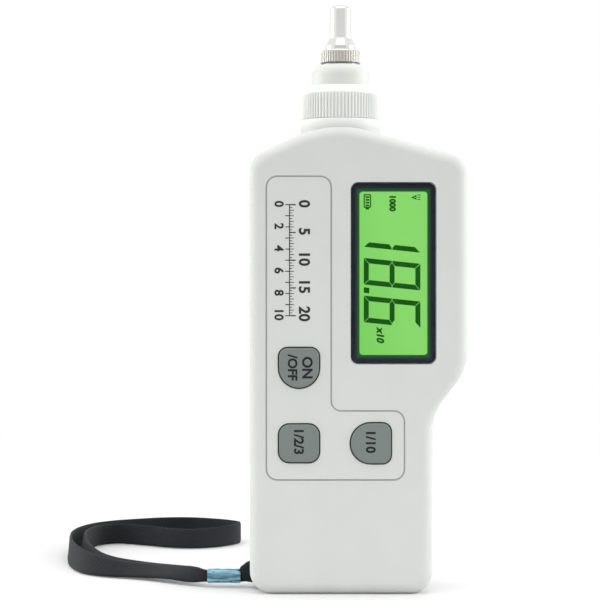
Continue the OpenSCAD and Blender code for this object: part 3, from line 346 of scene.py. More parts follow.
class LabelSettings(bpy.types.PropertyGroup):
    """Front label and its print."""

    film: bpy.props.FloatVectorProperty(
        name="Film colour", description="Colour of the label's film",
        subtype="COLOR", size=4, min=0, max=1, default=linear("d1d4d0"))
    ink: bpy.props.FloatVectorProperty(
        name="Ink colour", description="Colour of the printed scale",
        subtype="COLOR", size=4, min=0, max=1, default=linear("2c3032"))
    # Colour of the painted shade along the film's edge
    line: bpy.props.FloatVectorProperty(
        name="Outline colour", description="Colour of the label's thin outline",
        subtype="COLOR", size=4, min=0, max=1, default=linear("8f948f"))
    line_width: bpy.props.FloatProperty(
        name="Outline width", description="Width of the label's outline",
        default=0.26 * MM, unit="LENGTH")
    figure_size: bpy.props.FloatProperty(
        name="Figure size", description="Height of the scale's figures",
        default=4.6 * MM, unit="LENGTH")


class KeySettings(bpy.types.PropertyGroup):
    """The three keys."""

    rubber: bpy.props.FloatVectorProperty(
        name="Key colour", description="Colour of the silicone keys",
        subtype="COLOR", size=4, min=0, max=1, default=linear("777f7c"))
    print_ink: bpy.props.FloatVectorProperty(
        name="Key print colour", description="Colour of the signs on the keys",
        subtype="COLOR", size=4, min=0, max=1, default=linear("171b1d"))
    edge: bpy.props.FloatProperty(
        name="Key edge radius", description="Radius round a key's face",
        default=0.45 * MM, unit="LENGTH")


class DisplaySettings(bpy.types.PropertyGroup):
    """Display: the lit glass, its figures and the border."""

    lit: bpy.props.FloatVectorProperty(
        name="Lit colour", description="Colour of the lit display",
        subtype="COLOR", size=4, min=0, max=1, default=linear("7dd460"))
    figures: bpy.props.FloatVectorProperty(
        name="Figure colour", description="Colour of the display's figures",
        subtype="COLOR", size=4, min=0, max=1, default=linear("0c5407"))
    border: bpy.props.FloatVectorProperty(
        name="Border colour", description="Colour of the printed border",
        subtype="COLOR", size=4, min=0, max=1, default=linear("262c37"))


class ProbeSettings(bpy.types.PropertyGroup):
    """Collar, nose, nut and probe tip."""

    # Paler than the nose: painted light that offsets the shade between the ribs
    ring: bpy.props.FloatVectorProperty(
        name="Collar colour", description="Colour of the ribbed collar",
        subtype="COLOR", size=4, min=0, max=1, default=linear("eff1ed"))
    plastic: bpy.props.FloatVectorProperty(
        name="Nose colour", description="Colour of the nose",
        subtype="COLOR", size=4, min=0, max=1, default=linear("d6d8d2"))
    nickel: bpy.props.FloatVectorProperty(
        name="Nut colour", description="Colour of the knurled nut",
        subtype="COLOR", size=4, min=0, max=1, default=linear("e0ddd6"))
    chrome: bpy.props.FloatVectorProperty(
        name="Probe colour", description="Colour of the polished probe",
        subtype="COLOR", size=4, min=0, max=1, default=linear("e6e6e3"))


class StrapSettings(bpy.types.PropertyGroup):
    """Webbing and sleeve."""

    width: bpy.props.FloatProperty(
        name="Webbing width", description="Width of the webbing", default=7.4 * MM, unit="LENGTH")
    thick: bpy.props.FloatProperty(
        name="Webbing thickness", description="Thickness of the webbing",
        default=1.0 * MM, unit="LENGTH")
    webbing: bpy.props.FloatVectorProperty(
        name="Webbing colour", description="Colour of the woven yarn",
        subtype="COLOR", size=4, min=0, max=1, default=linear("14171a"))
    sleeve: bpy.props.FloatVectorProperty(
        name="Sleeve colour", description="Colour of the shrunk sleeve",
        subtype="COLOR", size=4, min=0, max=1, default=linear("6090a2"))

def mode(wanted):
    """Changes the active object's mode."""
    if bpy.context.object and bpy.context.object.mode != wanted:
        bpy.ops.object.mode_set(mode=wanted)


def clear_selection():
    """Leaves edit mode with nothing selected."""
    mode("OBJECT")
    bpy.ops.object.select_all(action="DESELECT")


def pick(piece):
    """Makes a piece the only selected and active one."""
    clear_selection()
    piece.select_set(True)
    bpy.context.view_layer.objects.active = piece


def settled(name):
    """Names the new object and puts its place into its mesh."""
    piece = bpy.context.object
    piece.name = name
    piece.data.name = name
    pick(piece)
    bpy.ops.object.transform_apply(location=True, rotation=True, scale=True)
    return piece


def select_vertices(piece, test):
    """Selects the vertices at which a test of their place in millimetres holds."""
    mesh = bmesh.from_edit_mesh(piece.data)
    bpy.ops.mesh.select_all(action="DESELECT")
    for vertex in mesh.verts:
        vertex.select = test(vertex.co / MM)
    mesh.select_flush(True)
    bmesh.update_edit_mesh(piece.data)


def faced_out():
    """Turns all faces of the edited piece outwards and leaves edit mode."""
    bpy.ops.mesh.select_all(action="SELECT")
    bpy.ops.mesh.normals_make_consistent(inside=False)
    mode("OBJECT")


def plotted(name, points, fill="NGON"):
    """An outline through points (x, y, z), left in edit mode."""
    clear_selection()
    bpy.ops.mesh.primitive_circle_add(
        vertices=len(points), radius=MM, fill_type=fill, rotation=(pi / 2, 0, 0))
    piece = settled(name)
    mode("EDIT")
    for i, point in enumerate(points):
        mesh = bmesh.from_edit_mesh(piece.data)
        mesh.verts.ensure_lookup_table()
        bpy.ops.mesh.select_all(action="DESELECT")
        mesh.verts[i].select = True
        mesh.select_flush(True)
        bpy.ops.transform.translate(value=Vector(point) * MM - mesh.verts[i].co)
    return piece


def slab(name, corners, y, depth, steps=8):
    """A plate with an outline of rounded corners [x, z, radius], from y towards the rear."""
    piece = plotted(name, [(corner[0], y, corner[1]) for corner in corners])
    for i, corner in enumerate(corners):
        if corner[2] <= 0:
            continue
        here = Vector((corner[0], corner[1]))
        before = Vector(corners[i - 1][:2]) - here
        after = Vector(corners[(i + 1) % len(corners)][:2]) - here
        turn = pi - before.angle(after)
        select_vertices(piece, lambda p: (Vector((p.x, p.z)) - here).length < NEAR)
        bpy.ops.mesh.bevel(
            offset=corner[2] * tan(turn / 2) * MM, segments=steps, profile=0.5,
            affect="VERTICES", clamp_overlap=False)
    bpy.ops.mesh.select_all(action="SELECT")
    bpy.ops.mesh.normals_make_consistent(inside=False)
    bpy.ops.mesh.extrude_region_move(TRANSFORM_OT_translate={"value": (0, depth * MM, 0)})
    faced_out()
    return piece


def bevel(piece, radius, steps, test):
    """Rounds the edges whose vertices pass a test of their place in millimetres."""
    pick(piece)
    mode("EDIT")
    select_vertices(piece, test)
    bpy.ops.mesh.bevel(
        offset=radius * MM, segments=steps, profile=0.5, affect="EDGES", clamp_overlap=False)
    mode("OBJECT")


def bevel_rim(piece, y, radius, steps):
    """Rounds the edges that lie on the plane y."""
    bevel(piece, radius, steps, lambda p: abs(p.y - y) < NEAR)


def box_corners(low, high, radius):
    """Corners of a rounded rectangle between two points (x, z)."""
    return [(low[0], low[1], radius), (high[0], low[1], radius),
            (high[0], high[1], radius), (low[0], high[1], radius)]


def display_corners(half, margin, radius):
    """Corners of a rounded rectangle round the display's middle."""
    return box_corners(
        (DISPLAY_X - half[0] - margin, DISPLAY_Z - half[1] - margin),
        (DISPLAY_X + half[0] + margin, DISPLAY_Z + half[1] + margin), radius)


def drawn_in(corners, distance):
    """The outline's corners, moved in by a distance."""
    inner = []
    for i, corner in enumerate(corners):
        here = Vector(corner[:2])
        run_in = (here - Vector(corners[i - 1][:2])).normalized()
        run_out = (Vector(corners[(i + 1) % len(corners)][:2]) - here).normalized()
        n_in = Vector((-run_in.y, run_in.x))
        n_out = Vector((-run_out.y, run_out.x))
        place = here + distance * (n_in + n_out) / (1 + n_in.dot(n_out))
        hollow = run_in.x * run_out.y - run_in.y * run_out.x < 0
        radius = corner[2] + distance if hollow else max(corner[2] - distance, 0.2)
        inner.append((place.x, place.y, radius))
    return inner


def block(low, high):
    """A box between two corners."""
    clear_selection()
    middle = [(a + b) / 2 * MM for a, b in zip(low, high)]
    size = [(b - a) * MM for a, b in zip(low, high)]
    bpy.ops.mesh.primitive_cube_add(size=1, location=middle, scale=size)
    return settled("block")


def twin_blocks(low, high):
    """A box and its twin left of the middle, from the right one's corners."""
    return block((-high[0], low[1], low[2]), (-low[0], high[1], high[2])), block(low, high)


def rod(x, z, radius, y, depth):
    """A round rod along Y, from y towards the rear."""
    clear_selection()
    bpy.ops.mesh.primitive_cylinder_add(
        vertices=32, radius=radius * MM, depth=depth * MM,
        location=(x * MM, (y + depth / 2) * MM, z * MM), rotation=(pi / 2, 0, 0))
    return settled("rod")


def pillar(x, y, radius, low, high, sides=48):
    """A round rod along Z between two heights."""
    clear_selection()
    bpy.ops.mesh.primitive_cylinder_add(
        vertices=sides, radius=radius * MM, depth=(high - low) * MM,
        location=(x * MM, y * MM, (low + high) / 2 * MM))
    return settled("pillar")


def turned(name, profile, steps=96, angle=2 * pi):
    """A solid turned about the probe's axis from a closed profile of (r, z)."""
    # Part of a turn starts from a face, so that its two ends are closed
    fill = "NGON" if abs(angle) < 2 * pi else "NOTHING"
    piece = plotted(name, [(r, 0, z) for r, z in profile], fill)
    bpy.ops.mesh.select_all(action="SELECT")
    bpy.ops.mesh.spin(steps=steps, angle=angle, center=(0, 0, 0), axis=(0, 0, 1))
    bpy.ops.mesh.select_all(action="SELECT")
    bpy.ops.mesh.remove_doubles(threshold=0.002 * MM)
    faced_out()
    return piece


def boolean(piece, tool, operation):
    """Cuts a tool out of a piece, joins it or keeps the common part, and removes it."""
    pick(piece)
    change = piece.modifiers.new("Boolean", "BOOLEAN")
    change.operation = operation
    change.object = tool
    change.solver = "EXACT"
    bpy.ops.object.modifier_apply(modifier=change.name)
    bpy.data.objects.remove(tool, do_unlink=True)


def cut(piece, *tools):
    """Cuts tools out of a piece."""
    for tool in tools:
        boolean(piece, tool, "DIFFERENCE")


def add(piece, *tools):
    """Joins tools to a piece."""
    for tool in tools:
        boolean(piece, tool, "UNION")


def smooth(piece, degrees=30):
    """Shades a piece smooth except over edges sharper than an angle."""
    pick(piece)
    bpy.ops.object.shade_smooth_by_angle(angle=radians(degrees))
    # Large flat faces keep their own normals beside narrow rounded edges
    change = piece.modifiers.new("Weighted", "WEIGHTED_NORMAL")
    change.keep_sharp = True
    bpy.ops.object.modifier_apply(modifier=change.name)


def joined(name, pieces):
    """Joins pieces into one object."""
    clear_selection()
    for piece in pieces:
        piece.select_set(True)
    bpy.context.view_layer.objects.active = pieces[0]
    if len(pieces) > 1:
        bpy.ops.object.join()
    pieces[0].name = name
    pieces[0].data.name = name
    return pieces[0]


def printed_text(text, x, z, size, y, italic=0.0, bold=0.0):
    """A line of figures that reads downwards, its baseline's start at (x, z)."""
    clear_selection()
    bpy.ops.object.text_add(location=(x * MM, y * MM, z * MM))
    made = bpy.context.object
    made.data.body = text
    made.data.size = size * MM
    made.data.shear = italic
    made.data.offset = bold * MM
    made.data.extrude = 0.01 * MM
    made.data.resolution_u = 4
    # The text's own X turns to -Z and its Y to +X, and it faces the front
    made.matrix_world = Matrix((
        (0, 1, 0, x * MM), (0, 0, -1, y * MM), (-1, 0, 0, z * MM), (0, 0, 0, 1)))
    bpy.ops.object.convert(target="MESH")
    return settled("figures")


def bar(low, high, y):
    """A thin printed bar between two points (x, z)."""
    return block((low[0], y - INK_T, low[1]), (high[0], y, high[1]))


def flat_ring(name, corners, width, y, depth):
    """A thin line of a given width along an outline."""
    ring = slab(name, corners, y, depth, 6)
    cut(ring, slab("hole", drawn_in(corners, width), y - 1, depth + 2, 6))
    return ring


def copies_round(piece, count):
    """A piece and its copies, evenly round the probe's axis."""
    made = [piece]
    for i in range(1, count):
        pick(piece)
        bpy.ops.object.duplicate(linked=False)
        copy = bpy.context.object
        copy.matrix_world = Matrix.Rotation(2 * pi * i / count, 4, "Z")
        made.append(settled(piece.name))
    return made


def finish_piece(piece, material, slot, *stands_for, body="case"):
    """Gives a piece its material and body, and hides the packed nodes that it stands for."""
    piece.data.materials.clear()
    piece.data.materials.append(material)
    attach(piece, body)
    if stands_for:
        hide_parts(*stands_for)


def dress(name, material):
    """Gives a packed node its material."""
    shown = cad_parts[name]
    shown.data.materials.clear()
    shown.data.materials.append(material)


def new_material(name):
    """An empty node material and its tree."""
    material = bpy.data.materials.new(name)
    material.use_nodes = True
    tree = material.node_tree
    tree.nodes.clear()
    return material, tree


def put(tree, kind, settings=None, links=None):
    """Adds a node, with its settings and with links into its sockets.

    A setting belongs to the node, to a socket, or as stops to a colour ramp. A node
    that is linked from gives its first output."""
    made = tree.nodes.new("ShaderNode" + kind)
    for key, value in (settings or {}).items():
        if key == "stops":
            elements = made.color_ramp.elements
            while len(elements) < len(value):
                elements.new(0.5)
            for element, (place, colour) in zip(elements, value):
                element.position = place
                element.color = colour
        elif isinstance(key, str) and hasattr(made, key):
            setattr(made, key, value)
        else:
            made.inputs[key].default_value = value
    for key, source in (links or {}).items():
        socket = source.outputs[0] if isinstance(source, bpy.types.Node) else source
        tree.links.new(socket, made.inputs[key])
    return made


def shade(colour, share, lift=0.0):
    """A colour made darker or lighter by a share."""
    return tuple(min(c * share + lift, 1) for c in colour[:3]) + (1,)


def moulded(name, colour, grit_mm, depth_mm, roughness, mottle=0.02, specular=0.5, neck=None):
    """A moulded surface: one colour, slightly mottled, with the tool's fine grit. Given a neck
    colour, it is painted paler towards the neck's top, as painted light.

    The eye sees a soft even sheen that the grit breaks up close by."""
    material, tree = new_material(name)
    place = put(tree, "TexCoord").outputs["Object"]
    clouds = put(tree, "TexNoise", {"Scale": 1 / (9 * MM), "Detail": 3}, {"Vector": place})
    base = put(
        tree, "ValToRGB", {"stops": [(0.35, shade(colour, 1 - mottle)), (0.65, colour)]},
        {"Fac": clouds})
    if neck is not None:
        # Painted light: the neck is painted paler than the walls under it
        parts = put(tree, "SeparateXYZ", links={"Vector": place})
        up = put(
            tree, "MapRange", {"From Min": NECK_PAINTED_LIGHT_Z[0] * MM, "From Max": NECK_PAINTED_LIGHT_Z[1] * MM},
            {"Value": parts.outputs["Z"]})
        base = put(tree, "Mix", {"data_type": "RGBA", 7: neck}, {0: up, 6: base}).outputs[2]
    grit = put(
        tree, "TexNoise", {"Scale": 1 / (grit_mm * MM), "Detail": 4}, {"Vector": place})
    bump = put(tree, "Bump", {"Strength": 0.6, "Distance": depth_mm * MM}, {"Height": grit})
    shader = put(
        tree, "BsdfPrincipled",
        {"Roughness": roughness, "IOR": 1.5, "Specular IOR Level": specular},
        {"Base Color": base, "Normal": bump})
    put(tree, "OutputMaterial", links={"Surface": shader})
    return material


def metal(name, colour, roughness, grit_mm=0.3, depth_mm=0.004, stretch=(1, 1, 1), spread=0.08):
    """A metal surface: its reflection, softened unevenly by fine marks."""
    material, tree = new_material(name)
    place = put(tree, "TexCoord").outputs["Object"]
    drawn_out = put(tree, "Mapping", {"Scale": stretch}, {"Vector": place})
    marks = put(
        tree, "TexNoise", {"Scale": 1 / (grit_mm * MM), "Detail": 4}, {"Vector": drawn_out})
    rough = put(
        tree, "MapRange",
        {"To Min": max(roughness - spread, 0.02), "To Max": roughness + spread}, {"Value": marks})
    bump = put(tree, "Bump", {"Strength": 0.4, "Distance": depth_mm * MM}, {"Height": marks})
    shader = put(
        tree, "BsdfPrincipled", {"Base Color": colour, "Metallic": 1.0},
        {"Roughness": rough, "Normal": bump})
    put(tree, "OutputMaterial", links={"Surface": shader})
    return material


def printed_ink(name, colour):
    """Screen-printed ink: flat and matt, with a faint unevenness."""
    return moulded(name, colour, 0.15, 0.002, 0.6, 0.06, 0.3)


def polished_acrylic():
    """Polished acrylic: clear, with a sharp faint reflection."""
    material, tree = new_material("polished_acrylic")
    shader = put(
        tree, "BsdfPrincipled",
        {"Base Color": WHITE, "Roughness": 0.0, "IOR": 1.49, "Specular IOR Level": 0.2,
         "Transmission Weight": 1.0})
    clear = put(tree, "BsdfTransparent")
    path = put(tree, "LightPath")
    surface = put(
        tree, "MixShader", links={0: path.outputs["Is Shadow Ray"], 1: shader, 2: clear})
    put(tree, "OutputMaterial", links={"Surface": surface})
    return material


def border_ink(colour):
    """Glossy dark border: ink behind the cover, lit green where the light leaks in."""
    material, tree = new_material("border_ink")
    place = put(tree, "TexCoord").outputs["Object"]
    parts = put(tree, "SeparateXYZ", links={"Vector": place})
    past = []
    for axis, middle, half in LIT_SPANS:
        # How far a point lies past the lit area, in millimetres
        shifted = put(
            tree, "Math", {"operation": "SUBTRACT", 1: middle * MM}, {0: parts.outputs[axis]})
        away = put(tree, "Math", {"operation": "ABSOLUTE"}, {0: shifted})
        past.append(put(
            tree, "Math", {"operation": "MULTIPLY_ADD", 1: 1 / MM, 2: -half}, {0: away}))
    most = put(tree, "Math", {"operation": "MAXIMUM"}, {0: past[0], 1: past[1]})
    leak = put(
        tree, "MapRange", {"From Min": 0.0, "From Max": 1.3, "To Min": 0.3, "To Max": 0.0},
        {"Value": most})
    shader = put(
        tree, "BsdfPrincipled",
        {"Base Color": colour, "Roughness": 0.5, "Specular IOR Level": 0.1,
         "Emission Color": linear("2f9e2c")},
        {"Emission Strength": leak})
    put(tree, "OutputMaterial", links={"Surface": shader})
    return material


def lit_glass(colour):
    """Glass cell lit from behind: an even green, a little brighter towards one corner."""
    material, tree = new_material("lit_glass")
    place = put(tree, "TexCoord").outputs["Object"]
    parts = put(tree, "SeparateXYZ", links={"Vector": place})
    run, rise = (
        put(
            tree, "MapRange", {"From Min": (middle - half) * MM, "From Max": (middle + half) * MM},
            {"Value": parts.outputs[axis]})
        for axis, middle, half in LIT_SPANS)
    corner = put(tree, "Math", {"operation": "MULTIPLY_ADD", 1: 0.6}, {0: rise, 2: run})
    clouds = put(tree, "TexNoise", {"Scale": 1 / (14 * MM), "Detail": 3}, {"Vector": place})
    mixed = put(tree, "Math", {"operation": "MULTIPLY_ADD", 1: 0.35}, {0: clouds, 2: corner})
    light = put(
        tree, "ValToRGB", {"stops": [(0.2, colour), (1.0, linear("8add6c"))]}, {"Fac": mixed})
    shader = put(
        tree, "BsdfPrincipled",
        {"Base Color": linear("1a261a"), "Roughness": 0.3, "Specular IOR Level": 0.1,
         "Emission Strength": 1.0},
        {"Emission Color": light})
    put(tree, "OutputMaterial", links={"Surface": shader})
    return material


def liquid_crystal(colour):
    """Dark segments of the cell, through which a little of the green light comes."""
    material, tree = new_material("liquid_crystal")
    place = put(tree, "TexCoord").outputs["Object"]
    clouds = put(tree, "TexNoise", {"Scale": 1 / (1.5 * MM), "Detail": 3}, {"Vector": place})
    light = put(
        tree, "ValToRGB", {"stops": [(0.3, colour), (0.7, linear("0f5c09"))]}, {"Fac": clouds})
    shader = put(
        tree, "BsdfPrincipled",
        {"Base Color": linear("071907"), "Roughness": 0.4, "Specular IOR Level": 0.1,
         "Emission Strength": 0.9},
        {"Emission Color": light})
    put(tree, "OutputMaterial", links={"Surface": shader})
    return material


def green_solder_mask():
    """Green solder mask on laminate: glossy, with the tracks standing up under it."""
    material, tree = new_material("green_solder_mask")
    place = put(tree, "TexCoord").outputs["Object"]
    tracks = put(
        tree, "TexBrick",
        {"Scale": 1 / (6 * MM), "Mortar Size": 0.06, "Row Height": 0.3,
         "Color1": linear("1f6b43"), "Color2": linear("1c613c"), "Mortar": linear("2f8a58")},
        {"Vector": place})
    bump = put(
        tree, "Bump", {"Strength": 0.5, "Distance": 0.04 * MM}, {"Height": tracks.outputs["Fac"]})
    shader = put(
        tree, "BsdfPrincipled", {"Roughness": 0.3}, {"Base Color": tracks, "Normal": bump})
    put(tree, "OutputMaterial", links={"Surface": shader})
    return material


def shrunk_film(colour):
    """Blue film shrunk on the webbing: long folds in its relief, with painted highlights along them
    and painted shade between.
    """
    material, tree = new_material("shrunk_film")
    place = put(tree, "TexCoord").outputs["Object"]
    drawn_out = put(tree, "Mapping", {"Scale": (0.12, 1, 1)}, {"Vector": place})
    fold_relief_and_painted_light = put(
        tree, "TexNoise", {"Scale": 1 / (0.7 * MM), "Detail": 4}, {"Vector": drawn_out})
    # Painted highlights on the folds and painted shade between them, in the film's colour
    base = put(
        tree, "ValToRGB",
        {"stops": [(0.36, shade(colour, 0.45)), (0.5, colour), (0.66, shade(colour, 1.9, 0.05))]},
        {"Fac": fold_relief_and_painted_light})
    bump = put(tree, "Bump", {"Strength": 0.9, "Distance": 0.35 * MM}, {"Height": fold_relief_and_painted_light})
    shader = put(
        tree, "BsdfPrincipled", {"Roughness": 0.3, "IOR": 1.5},
        {"Base Color": base, "Normal": bump})
    put(tree, "OutputMaterial", links={"Surface": shader})
    return material


def woven_nylon(colour):
    """Black woven nylon: a matt tape of small crossing yarns, with a faint fuzz. The raised yarns are
    painted lighter and the hollows between them darker, as painted highlights and painted shade.

    Real yarns are 0.5 mm apart; they are drawn 0.9 and 1.3 mm apart, so that they show.
    The piece's UV map holds millimetres, across in U and along in V."""
    material, tree = new_material("woven_nylon")
    uv = put(tree, "UVMap", {"uv_map": "weave"})
    parts = put(tree, "SeparateXYZ", links={"Vector": uv})
    across = put(
        tree, "Math", {"operation": "MULTIPLY", 1: 2 * pi / 0.9}, {0: parts.outputs["X"]})
    along = put(
        tree, "Math", {"operation": "MULTIPLY", 1: 2 * pi / 1.3}, {0: parts.outputs["Y"]})
    row = put(tree, "Math", {"operation": "SINE"}, {0: across})
    # Each yarn passes over where its neighbour passes under
    side = put(tree, "Math", {"operation": "SIGN"}, {0: row})
    shifted = put(
        tree, "Math", {"operation": "MULTIPLY_ADD", 1: pi / 2}, {0: side, 2: along})
    wave = put(tree, "Math", {"operation": "SINE"}, {0: shifted})
    yarn = put(tree, "Math", {"operation": "ABSOLUTE"}, {0: row})
    height = put(tree, "Math", {"operation": "MULTIPLY"}, {0: yarn, 1: wave})
    relief_and_painted_light = put(tree, "MapRange", {"From Min": -1.0, "From Max": 1.0}, {"Value": height})
    place = put(tree, "TexCoord").outputs["Object"]
    fuzz = put(tree, "TexNoise", {"Scale": 1 / (0.35 * MM), "Detail": 3}, {"Vector": place})
    mixed = put(tree, "Math", {"operation": "MULTIPLY_ADD", 1: 0.5}, {0: fuzz, 2: relief_and_painted_light})
    # Colour from the yarns' relief is painted light: painted highlights on top, painted shade in the
    # hollows; the fuzz is the yarn's own uneven tone
    base = put(
        tree, "ValToRGB",
        {"stops": [(0.35, shade(colour, 0.45)), (0.7, colour), (1.0, shade(colour, 2.2))]},
        {"Fac": mixed})
    bump = put(tree, "Bump", {"Strength": 0.9, "Distance": 0.22 * MM}, {"Height": mixed})
    shader = put(
        tree, "BsdfPrincipled",
        {"Roughness": 0.75, "Sheen Weight": 0.06, "Sheen Roughness": 0.4,
         "Specular IOR Level": 0.25},
        {"Base Color": base, "Normal": bump})
    put(tree, "OutputMaterial", links={"Surface": shader})
    return material


def smooth_route(route, steps):
    """A smooth curve through a route's points, with extra points between them."""
    points = []
    last = len(route) - 1
    for i in range(last):
        a, b, c, d = (
            Vector(route[max(i - 1, 0)]), Vector(route[i]),
            Vector(route[i + 1]), Vector(route[min(i + 2, last)]))
        for k in range(steps):
            t = k / steps
            points.append(0.5 * (
                2 * b + (c - a) * t + (2 * a - 5 * b + 4 * c - d) * t * t
                + (3 * b - a - 3 * c + d) * t * t * t))
    points.append(Vector(route[last]))
    return points


def object_from(mesh, name):
    """Turns bmesh data into an object whose faces point outwards."""
    bmesh.ops.recalc_face_normals(mesh, faces=mesh.faces)
    data = bpy.data.meshes.new(name)
    mesh.to_mesh(data)
    mesh.free()
    piece = bpy.data.objects.new(name, data)
    bpy.context.collection.objects.link(piece)
    return piece


def webbing_mesh(name, route, width, thick):
    """Flat webbing along a route, with a crowned section and a UV map in millimetres."""
    # Section: share of the half thickness and of the half width, anticlockwise
    section = [(1, -0.8), (1, -0.4), (1, 0), (1, 0.4), (1, 0.8), (0.55, 1),
               (-0.55, 1), (-1, 0.8), (-1, 0.4), (-1, 0), (-1, -0.4), (-1, -0.8),
               (-0.55, -1), (0.55, -1)]
    count = len(section)
    mesh = bmesh.new()
    layer = mesh.loops.layers.uv.new("weave")
    rings = []
    lengths = [0.0]
    for i, point in enumerate(route):
        here = Vector(point[:3])
        ahead = Vector(route[min(i + 1, len(route) - 1)][:3])
        behind = Vector(route[max(i - 1, 0)][:3])
        if i:
            lengths.append(lengths[-1] + (here - behind).length)
        heading = (ahead - behind).normalized()
        level = Vector((0, 0, 1)).cross(heading).normalized()
        rise = heading.cross(level)
        lean = radians(point[3])
        up = cos(lean) * rise + sin(lean) * level
        out = up.cross(heading)
        half = point[4] * width / 2
        # Gathered webbing is narrower and thicker
        deep = thick / 2 * (1 + 0.35 * (1 - point[4]))
        rings.append([
            mesh.verts.new((here + q * deep * out + p * half * up) * MM) for q, p in section])
    for j in range(len(rings) - 1):
        for k in range(count):
            corners = [(j, k), (j + 1, k), (j + 1, k + 1), (j, k + 1)]
            face = mesh.faces.new([rings[ring][step % count] for ring, step in corners])
            face.smooth = True
            for loop, (ring, step) in zip(face.loops, corners):
                loop[layer].uv = (section[step % count][1] * width / 2, lengths[ring])
    mesh.faces.new(rings[0])
    mesh.faces.new(list(reversed(rings[-1])))
    return object_from(mesh, name)


def sleeve_mesh(name):
    """A thin sleeve along X, shrunk into lengthwise folds, with turned-in ends."""
    mesh = bmesh.new()
    rings = []
    steps = 26
    sides = 72
    for j in range(-1, steps + 2):
        share = min(max(j / steps, 0), 1)
        x = SLEEVE_X[0] + (SLEEVE_X[1] - SLEEVE_X[0]) * share
        mouth = 0.8 if j in (-1, steps + 1) else 0.95 if j in (0, steps) else 1.0
        twist = 0.7 * share
        ring = []
        for k in range(sides):
            angle = 2 * pi * k / sides
            # Waves that wind round the sleeve by different amounts make its folds
            fold = (
                0.045 * sin(7 * angle + 2.4 * twist) + 0.03 * sin(12 * angle - 3.1 * twist + 1)
                + 0.02 * sin(5 * pi * share + 3 * angle))
            r = SLEEVE_R * mouth * (0.93 + fold)
            place = Vector((x, SLEEVE_Y + r * cos(angle), SLEEVE_Z + 0.94 * r * sin(angle)))
            ring.append(mesh.verts.new(place * MM))
        rings.append(ring)
    for low, high in zip(rings, rings[1:]):
        for k in range(sides):
            after = (k + 1) % sides
            face = mesh.faces.new((low[k], low[after], high[after], high[k]))
            face.smooth = True
    return object_from(mesh, name)


